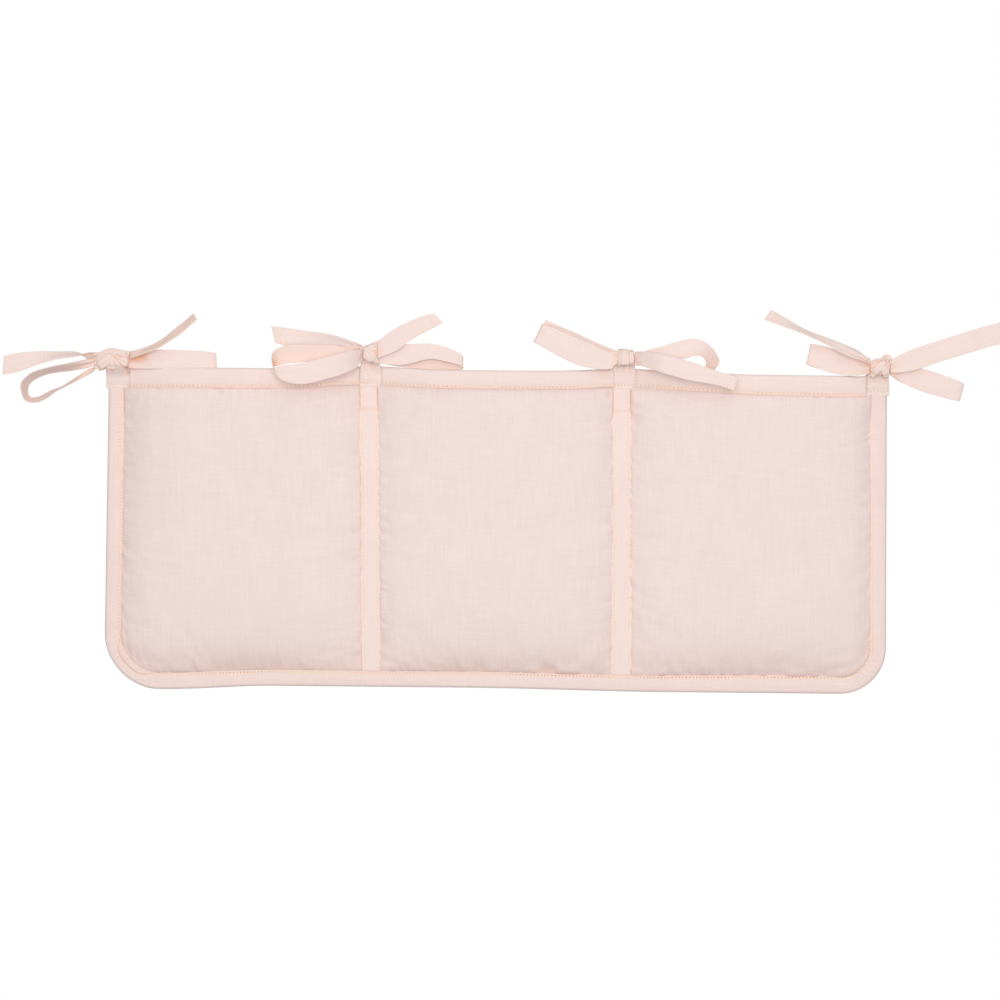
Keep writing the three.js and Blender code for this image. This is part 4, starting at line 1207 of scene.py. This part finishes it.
def make_arm(name, knot, side, reach_share, shares, materials):
    """A loop or tail: a ribbon between two edges, pleated where its knot gathers it."""
    reach = reach_share * ARM_REACH
    x, z, width = knot[:3]
    rows = smooth_rows(shares, 7)
    start = x + side * (width / 2 + GAP)
    first = np.stack([start + side * rows[:, 0] * reach, z + rows[:, 1] * reach], axis=-1)
    second = np.stack([start + side * rows[:, 2] * reach, z + rows[:, 3] * reach], axis=-1)
    seen = np.linalg.norm(first - second, axis=1)
    hidden = np.sqrt(np.maximum(RIBBON_WIDTH**2 - seen**2, 0))
    depth = KNOT_MIDDLE + rows[:, 4] * reach
    shift = rows[:, 5] * hidden / 2
    first = np.column_stack([first, depth + shift])
    second = np.column_stack([second, depth - shift])
    across = np.array([0, 0.02, 0.06, 0.115, 0.18, 0.26, 0.37, 0.5, 0.63, 0.74, 0.82, 0.885, 0.94, 0.98, 1])
    grid = first[:, None] * (1 - across)[:, None] + second[:, None] * across[:, None]
    width_here = np.linalg.norm(first - second, axis=1)
    slack = np.sqrt(np.maximum((RIBBON_WIDTH / np.maximum(width_here, 3)) ** 2 - 1, 0))
    travel = travel_along(grid[:, len(across) // 2])[:, None]
    length = travel[-1]
    is_loop = name.endswith("loop")
    knotted = np.exp(-travel / 13)
    if is_loop:
        knotted = knotted + np.exp(-(length - travel) / 13)
    deep = np.minimum(slack * width_here / 9, 1.3)[:, None] * knotted
    seed = 100 + sum(ord(letter) for letter in name)
    from_knot = ease(travel / 3)
    waves = np.cos(across * 3 * math.pi + seed)
    ripple = 0.6 * (noise(travel / 19, across * 1.2, seed) - 0.5) * from_knot
    grid = grid + normals_of(grid) * (waves * deep * from_knot + ripple)[..., None]
    weave = np.stack(np.broadcast_arrays(travel, across * RIBBON_WIDTH), -1)
    # Painted shade in the pleat valleys and beside the knot, and on a loop's back branch painted warm light
    # as if shone through the ribbon
    fold = 0.35 * np.clip(deep, 0, 1) * (0.5 - 0.5 * waves) + 0.2 * np.exp(-travel / 4)
    if is_loop:
        fold = fold + 0.16 * ease((travel / length - 0.45) / 0.12)
    if name in SHADED_ARMS:
        fold = fold + SHADED_ARMS[name](travel, across)
    parts = [cloth(grid, RIBBON_THICKNESS, weave, fold)]
    normal = normals_of(grid)
    column = FIRST_HEM if name in FIRST_EDGE_HEMMED else SECOND_HEM
    parts += both_faces(grid[:, column], normal[:, column], PITCH, 0.15, 0.22)
    if not is_loop:
        row = len(rows) - 4
        parts += both_faces(grid[row], normal[row], 2.1, 0.18, 0.3)
    arm = piece(f"{name}_ribbon", parts, [materials["ribbon"], materials["thread"]], (name,))
    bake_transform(arm)


def both_faces(route, normal, pitch, radius, shade):
    """Stitches along a ribbon that are seen on both of its faces."""
    rows = []
    for face in (1, -1):
        away = face * normal
        rows.append(stitches(route + away * RIBBON_THICKNESS / 2, away, pitch, radius, 1, shade))
    return rows


def make_bow(number, bow, materials):
    """A tab, its knot and its four arms. A knot is a tuple of its place, rise, width, height and depth."""
    along, rise, width, height = bow["knot"]
    place = bow["tab"] + along * KNOT_WIDTH
    deep = bow.get("depth", 0.88) * KNOT_DEPTH
    knot = (place, rise * KNOT_RISE, width * KNOT_WIDTH, height * KNOT_HEIGHT, deep)
    make_tab(number, bow["tab"], knot, bow["flare"], bow.get("over", 0), materials)
    make_knot(number, knot, bow["strands"], bow.get("taper", (0, 0)), materials)
    for arm, (reach_share, shares) in bow["arms"].items():
        side = -1 if arm.startswith("left") else 1
        make_arm(f"bow_{number}_{arm}", knot, side, reach_share, shares, materials)


# Room


def make_world():
    """White to the camera and an even soft light on the object."""
    world = bpy.data.worlds.new("studio")
    bpy.context.scene.world = world
    world.use_nodes = True
    tree = world.node_tree
    tree.nodes.clear()
    rays = node(tree, "ShaderNodeLightPath").outputs
    seen = maths(tree, "MAXIMUM", rays["Is Camera Ray"], rays["Is Glossy Ray"])
    seen = maths(tree, "MAXIMUM", seen, rays["Is Transmission Ray"])
    light = node(tree, "ShaderNodeBackground", {"Color": (1, 1, 1, 1), "Strength": WORLD_LIGHT})
    white = node(tree, "ShaderNodeBackground", {"Color": (1, 1, 1, 1), "Strength": 1.0})
    both = node(tree, "ShaderNodeMixShader", {0: seen, 1: light.outputs[0], 2: white.outputs[0]})
    node(tree, "ShaderNodeOutputWorld", {"Surface": both.outputs[0]})


def make_lamps():
    for name, place, size, power in LAMPS:
        lamp = bpy.data.lights.new(name, "AREA")
        lamp.shape = "DISK"
        lamp.size = size
        lamp.energy = power
        made = added(name, lamp)
        made.location = place
        aim = mathutils.Vector(LAMP_AIM) - made.location
        made.rotation_euler = aim.to_track_quat("-Z", "Y").to_euler()


def make_floor():
    """A pale floor far below the rail."""
    mesh = bpy.data.meshes.new("floor")
    corners = [(-1, -1), (1, -1), (1, 1), (-1, 1)]
    mesh.from_pydata([(x * FLOOR_HALF, y * FLOOR_HALF, FLOOR) for x, y in corners], [], [(0, 1, 2, 3)])
    floor = added("floor", mesh)
    paint = bpy.data.materials.new("floor_paint")
    paint.use_nodes = True
    shader = paint.node_tree.nodes["Principled BSDF"]
    shader.inputs["Base Color"].default_value = (FLOOR_TONE, FLOOR_TONE, FLOOR_TONE, 1)
    shader.inputs["Roughness"].default_value = 0.9
    mesh.materials.append(paint)


def make_camera():
    camera = bpy.data.cameras.new("camera")
    camera.lens = CAMERA_LENS
    camera.sensor_width = CAMERA_SENSOR
    made = added("camera", camera)
    made.location = CAMERA_PLACE
    made.rotation_euler = (math.radians(90), math.radians(CAMERA_ROLL), 0)
    bpy.context.scene.camera = made


def main():
    bpy.context.scene.view_settings.view_transform = "Standard"
    make_camera()
    make_world()
    make_lamps()
    make_floor()
    materials = {
        "cotton": cotton("cotton_cloth", COTTON, SHADE, slub=0.058),
        "binding": cotton("cotton_binding", BINDING, slub=0.045),
        "band": cotton("cotton_band", BAND, slub=0.045),
        "lining": cotton("cotton_lining", LINING),
        "ribbon": cotton("cotton_ribbon", RIBBON, slub=0.04),
        "thread": thread("sewing_thread", THREAD_COLOUR),
    }
    make_rear_panel(materials)
    make_rear_top(materials)
    make_margin(materials)
    make_binding(materials)
    for side in (-1, 1):
        make_tape(side, materials)
    for pocket in POCKETS:
        make_pocket(pocket, materials)
    for number, bow in enumerate(BOWS, start=1):
        make_bow(number, bow, materials)


# Each pocket: its body, its middle, its insets, its seed of noise and its reaches
POCKETS = [
    Pocket("left_pocket", -2 * DIVIDER, (4.5, 2), 200, (24, 16)),
    Pocket("middle_pocket", 0, (2, 2), 300),
    Pocket("right_pocket", 2 * DIVIDER, (2, 4.5), 400),
]

# Arms with painted shade of their own. An arm's hem stitches follow one of two of its columns.
SHADED_ARMS = {"bow_1_right_tail": shaded_tail, "bow_2_left_loop": shaded_bend, "bow_1_right_loop": shaded_root}
FIRST_EDGE_HEMMED = ("bow_3_left_tail", "bow_3_left_loop")
FIRST_HEM = 3
SECOND_HEM = 11

# Each bow has:
# tab, the place of its tab;
# knot, its knot's place from there, rise, width and height, as shares of the named sizes;
# flare, where the tab's left and right edges are above and below, as shares of its width;
# taper, how much narrower the knot's core is at its left and right end;
# over, how far up its knot the tab is laid, as a share of half the knot's height;
# depth, the knot's depth as a share;
# strands, the knot's turns of ribbon, which strand() explains;
# arms, each with its reach as a share, and rows of the place and height of its first edge, those of its
# second edge and the depth of its middle, as shares of its reach, and of its lean, which goes from 1, where
# its first edge is in front, to -1.
BOWS = [
    {
        "tab": -END_TAB,
        "knot": (-0.307, 0.49, 1.757, 1.18),
        "flare": (-0.45, -0.245, -0.5, 0.555),
        "taper": (0.5, 0.45),
        "over": 0.47,
        "depth": 0.75,
        "strands": [
            [(-1.08, 0.5, 0.16), (-0.7, 0.46, 0.24), (-0.35, 0.5, 0.26), (0, 0.55, 0.2)],
            [(-1.08, 0.02, 0.2), (-0.7, 0.12, 0.26), (-0.35, 0.2, 0.26), (0, 0.25, 0.2)],
            [(-1.08, -0.62, 0.18), (-0.8, -0.42, 0.24), (-0.5, -0.2, 0.26), (-0.2, 0, 0.2)],
            [(-0.75, 0.45, 0.15), (-0.41, 0.65, 0.25), (0, 0.78, 0.27), (0.5, 0.66, 0.27), (1.13, 0.45, 0.3)],
            [(0.35, 0.22, 0.2), (0.6, -0.02, 0.34), (0.85, -0.12, 0.42), (1.1, -0.12, 0.34)],
            [(-0.9, -0.72, 0.3), (-0.62, -0.4, 0.42), (-0.3, 0, 0.45), (-0.02, 0.32, 0.38), (0.15, 0.6, 0.2)],
        ],
        "arms": {
            "left_tail": (1.112, [
                (0, 0.084, 0, 0.023, -0.027, 0), (0.08, 0.088, 0.08, 0.0, -0.09, 0.4),
                (0.2, 0.055, 0.22, 0.085, -0.15, 0.5), (0.43, 0.011, 0.43, 0.098, -0.16, 0.5),
                (0.64, -0.053, 0.64, 0.095, -0.15, 0.5), (0.85, -0.122, 0.85, 0.073, -0.14, 0.5),
                (1, -0.154, 0.99, 0.037, -0.13, 0.5),
            ]),
            "left_loop": (0.863, [
                (0, 0.014, 0, -0.07, 0.05, 0), (0.115, -0.014, 0.124, -0.106, 0.1, 0.5),
                (0.315, -0.064, 0.315, -0.15, 0.15, 1), (0.602, -0.123, 0.602, -0.192, 0.15, 1),
                (0.812, -0.194, 0.802, -0.27, 0.15, 1), (0.945, -0.32, 0.888, -0.35, 0.15, 1),
                (0.945, -0.45, 0.902, -0.46, 0.15, 1), (0.888, -0.568, 0.85, -0.52, 0.15, 1),
                (0.759, -0.596, 0.735, -0.5, 0.15, 1), (0.63, -0.549, 0.583, -0.42, 0.15, 1),
                (0.468, -0.432, 0.43, -0.36, 0.15, 1), (0.239, -0.31, 0.22, -0.228, 0.13, 0.8),
                (0, -0.15, 0, -0.1, 0.06, 0),
            ]),
            "right_tail": (0.828, [
                (0, 0.11, 0, 0.015, -0.02, 0), (0.24, 0.171, 0.257, 0.093, 0.11, -0.5),
                (0.4, 0.236, 0.457, 0.16, 0.16, -0.5), (0.54, 0.321, 0.614, 0.26, 0.17, -0.5),
                (0.67, 0.436, 0.771, 0.364, 0.17, -0.5), (0.83, 0.567, 0.9, 0.479, 0.17, -0.5),
                (0.94, 0.669, 1, 0.567, 0.17, -0.5),
            ]),
            "right_loop": (1.035, [
                (0, 0.1, 0, -0.085, -0.03, 0), (0.2, 0.12, 0.2, -0.088, 0.0, 0),
                (0.55, 0.12, 0.55, -0.084, 0.01, 0), (0.85, 0.11, 0.85, -0.08, 0.01, 0),
                (1, 0.09, 1, -0.08, -0.03, 0), (0.85, 0.09, 0.85, -0.078, -0.065, 0),
                (0.5, 0.1, 0.5, -0.078, -0.075, 0), (0.2, 0.1, 0.2, -0.05, -0.07, 0),
                (0, 0.09, 0, -0.02, -0.05, 0),
            ]),
        },
    },
    {
        "tab": -DIVIDER,
        "knot": (0, 1.25, 0.821, 0.973),
        "flare": (-0.43, 0.37, -0.45, 0.55),
        "strands": [
            [(-0.4, 0.3, 0.3), (0.3, 0.55, 0.45), (1.1, 0.75, 0.5)],
            [(-1.1, -0.1, 0.35), (-0.5, -0.3, 0.42), (0.1, -0.75, 0.35), (0.35, -1.2, 0.3)],
            [(-1.3, 0.45, 0.2), (-0.6, 0.33, 0.3), (0.15, -0.1, 0.34), (0.7, -0.75, 0.32), (1, -1.35, 0.28)],
        ],
        "arms": {
            "left_tail": (1.088, [
                (0, 0.082, 0, 0.02, -0.03, 0), (0.13, 0.13, 0.147, 0.05, -0.09, -0.5),
                (0.26, 0.178, 0.26, 0.082, -0.13, -0.65), (0.42, 0.215, 0.42, 0.09, -0.15, -0.65),
                (0.62, 0.24, 0.62, 0.085, -0.15, -0.65), (0.8, 0.265, 0.815, 0.08, -0.15, -0.65),
                (1, 0.288, 0.95, 0.11, -0.15, -0.65),
            ]),
            "left_loop": (1.035, [
                (0, 0.03, 0, -0.115, 0.045, 0), (0.06, 0.02, 0.06, -0.215, 0.14, 0),
                (0.2, -0.02, 0.19, -0.28, 0.24, 0), (0.4, -0.08, 0.36, -0.325, 0.29, 0),
                (0.65, -0.145, 0.65, -0.375, 0.32, 0), (0.86, -0.175, 0.85, -0.345, 0.33, 0),
                (0.97, -0.185, 0.94, -0.28, 0.32, 0), (1, -0.08, 0.99, -0.18, 0.28, 0),
                (0.965, 0.01, 0.965, -0.17, 0.22, 0), (0.8, 0.07, 0.8, -0.13, 0.15, 0),
                (0.48, 0.08, 0.48, -0.1, 0.06, 0), (0.2, 0.06, 0.2, -0.08, 0.02, 0),
                (0, 0.03, 0, -0.06, 0.01, 0),
            ]),
            "right_tail": (0.78, [
                (0, 0.17, 0, -0.08, 0.04, 0), (0.23, 0.341, 0.295, 0.045, 0.08, 0),
                (0.43, 0.447, 0.485, 0.19, 0.1, 0), (0.64, 0.538, 0.71, 0.318, 0.11, 0),
                (0.84, 0.59, 0.97, 0.46, 0.11, 0),
            ]),
            "right_loop": (0.994, [
                (0, 0.06, 0, -0.155, -0.015, 0), (0.25, 0.1, 0.25, -0.16, -0.015, 0),
                (0.42, 0.107, 0.42, -0.11, -0.015, 0), (0.62, 0.113, 0.62, -0.06, -0.015, 0),
                (0.81, 0.07, 0.81, -0.09, -0.02, 0), (0.97, 0.0, 0.96, -0.13, -0.03, 0),
                (1, -0.04, 1, -0.175, -0.06, 0), (0.9, -0.02, 0.9, -0.188, -0.09, 0),
                (0.57, 0.03, 0.57, -0.188, -0.09, 0), (0.25, 0.03, 0.25, -0.18, -0.07, 0),
                (0, 0.03, 0, -0.14, -0.05, 0),
            ]),
        },
    },
    {
        "tab": DIVIDER,
        "knot": (0, 1.04, 0.907, 0.92),
        "flare": (-0.55, 0.4, -0.62, 0.44),
        "strands": [
            [(0.55, 0.9, 0.22), (0.62, 0.5, 0.3), (0.66, -0.2, 0.32), (0.7, -1, 0.3)],
            [(-0.43, 1, 0.5), (-0.43, 0.75, 0.64), (-0.42, 0, 0.68), (-0.4, -0.75, 0.66), (-0.38, -1.1, 0.6)],
        ],
        "arms": {
            "left_tail": (0.988, [
                (0, 0.078, 0, -0.018, -0.03, 0), (0.2, 0.16, 0.25, -0.04, -0.04, 0),
                (0.5, 0.295, 0.58, 0.06, -0.05, 0), (0.72, 0.385, 0.79, 0.16, -0.05, 0),
                (0.86, 0.445, 0.93, 0.24, -0.05, 0),
            ]),
            "left_loop": (0.988, [
                (0, 0.078, 0, -0.065, 0.045, 0), (0.11, 0.065, 0.1, -0.17, 0.06, 0),
                (0.31, 0.15, 0.34, -0.14, 0.08, 0), (0.52, 0.235, 0.57, -0.05, 0.09, 0),
                (0.73, 0.325, 0.79, 0.06, 0.095, 0), (0.86, 0.375, 0.95, 0.15, 0.095, 0),
                (0.9, 0.392, 1, 0.178, 0.068, 0), (0.86, 0.387, 0.95, 0.162, 0.04, 0),
                (0.73, 0.355, 0.79, 0.09, 0.035, 0), (0.48, 0.255, 0.53, 0, 0.025, 0),
                (0.2, 0.125, 0.22, -0.08, 0.015, 0), (0, 0.078, 0, -0.045, 0.01, 0),
            ]),
            "right_tail": (1.183, [
                (0, 0.06, 0, -0.075, 0.035, 0), (0.1, 0.055, 0.09, -0.12, 0.12, 0),
                (0.25, 0.02, 0.22, -0.16, 0.22, 0), (0.38, -0.01, 0.34, -0.19, 0.245, 0),
                (0.54, -0.05, 0.49, -0.22, 0.265, 0), (0.71, -0.11, 0.65, -0.245, 0.28, 0),
                (0.86, -0.15, 0.81, -0.27, 0.285, 0), (1, -0.19, 0.955, -0.31, 0.285, 0),
            ]),
            "right_loop": (0.994, [
                (0, 0.05, 0, -0.05, -0.015, 0), (0.33, 0.143, 0.345, -0.04, -0.02, 0),
                (0.53, 0.207, 0.57, 0.0, -0.03, 0), (0.7, 0.235, 0.7, 0.04, -0.04, 0),
                (0.87, 0.173, 0.8, 0.04, -0.06, 0.5), (1, 0.0, 0.86, -0.03, -0.09, 0.8),
                (0.95, -0.12, 0.84, -0.09, -0.12, 0.8), (0.78, -0.145, 0.77, -0.08, -0.13, 0.6),
                (0.55, -0.14, 0.55, -0.03, -0.12, 0.3), (0.3, -0.125, 0.3, -0.02, -0.09, 0),
                (0, -0.09, 0, -0.02, -0.05, 0),
            ]),
        },
    },
    {
        "tab": END_TAB,
        "knot": (0.057, 0.59, 1.1, 0.973),
        "flare": (-0.41, 0.48, -0.42, 0.5),
        "strands": [
            [(0.4, 0.6, 0.3), (0.62, 0.85, 0.42), (0.8, 0.75, 0.38), (0.95, 0.5, 0.25)],
            [(0.1, 0.15, 0.2), (0.35, -0.25, 0.42), (0.55, -0.7, 0.42), (0.6, -1.1, 0.3)],
            [(-0.85, -1, 0.25), (-0.45, -0.5, 0.38), (-0.05, 0, 0.42), (0.28, 0.4, 0.34), (0.42, 0.7, 0.2)],
        ],
        "arms": {
            "left_tail": (1.206, [
                (0, 0.07, 0, 0.01, 0.03, 0), (0.12, 0.148, 0.12, 0.056, 0.08, -0.45),
                (0.25, 0.202, 0.245, 0.098, 0.1, -0.45), (0.42, 0.268, 0.43, 0.195, 0.1, -0.45),
                (0.63, 0.345, 0.645, 0.295, 0.1, -0.45), (0.8, 0.44, 0.85, 0.37, 0.1, -0.45),
                (0.975, 0.535, 1.045, 0.435, 0.1, -0.45),
            ]),
            "left_loop": (0.734, [
                (0, 0.07, 0, -0.095, -0.015, 0), (0.27, 0.17, 0.27, -0.118, -0.015, 0),
                (0.52, 0.25, 0.5, -0.1, -0.02, 0), (0.76, 0.32, 0.76, -0.045, -0.02, 0),
                (0.94, 0.35, 1, 0.021, -0.06, 0), (0.76, 0.3, 0.77, -0.035, -0.1, 0),
                (0.4, 0.18, 0.4, -0.085, -0.1, 0), (0, 0.06, 0, -0.07, -0.06, 0),
            ]),
            "right_tail": (1.325, [
                (0, 0.06, 0, -0.06, 0.025, 0), (0.18, 0.147, 0.2, -0.03, 0.05, 0),
                (0.39, 0.219, 0.42, 0.045, 0.07, 0), (0.61, 0.29, 0.62, 0.107, 0.08, 0),
                (0.79, 0.347, 0.8, 0.165, 0.08, 0), (0.955, 0.394, 0.985, 0.215, 0.08, 0),
            ]),
            "right_loop": (0.875, [
                (0, 0.03, 0, -0.11, -0.015, 0), (0.2, 0.02, 0.216, -0.24, -0.02, 0),
                (0.43, -0.025, 0.43, -0.32, -0.03, 0), (0.65, -0.088, 0.65, -0.385, -0.03, 0),
                (0.86, -0.163, 0.82, -0.43, -0.035, 0), (0.96, -0.205, 0.91, -0.445, -0.045, 0),
                (1, -0.228, 0.95, -0.449, -0.075, 0), (0.96, -0.205, 0.91, -0.44, -0.105, 0),
                (0.8, -0.14, 0.78, -0.41, -0.115, 0), (0.45, -0.04, 0.45, -0.32, -0.11, 0),
                (0.15, 0.0, 0.15, -0.2, -0.08, 0), (0, 0.02, 0, -0.11, -0.05, 0),
            ]),
        },
    },
]

main()
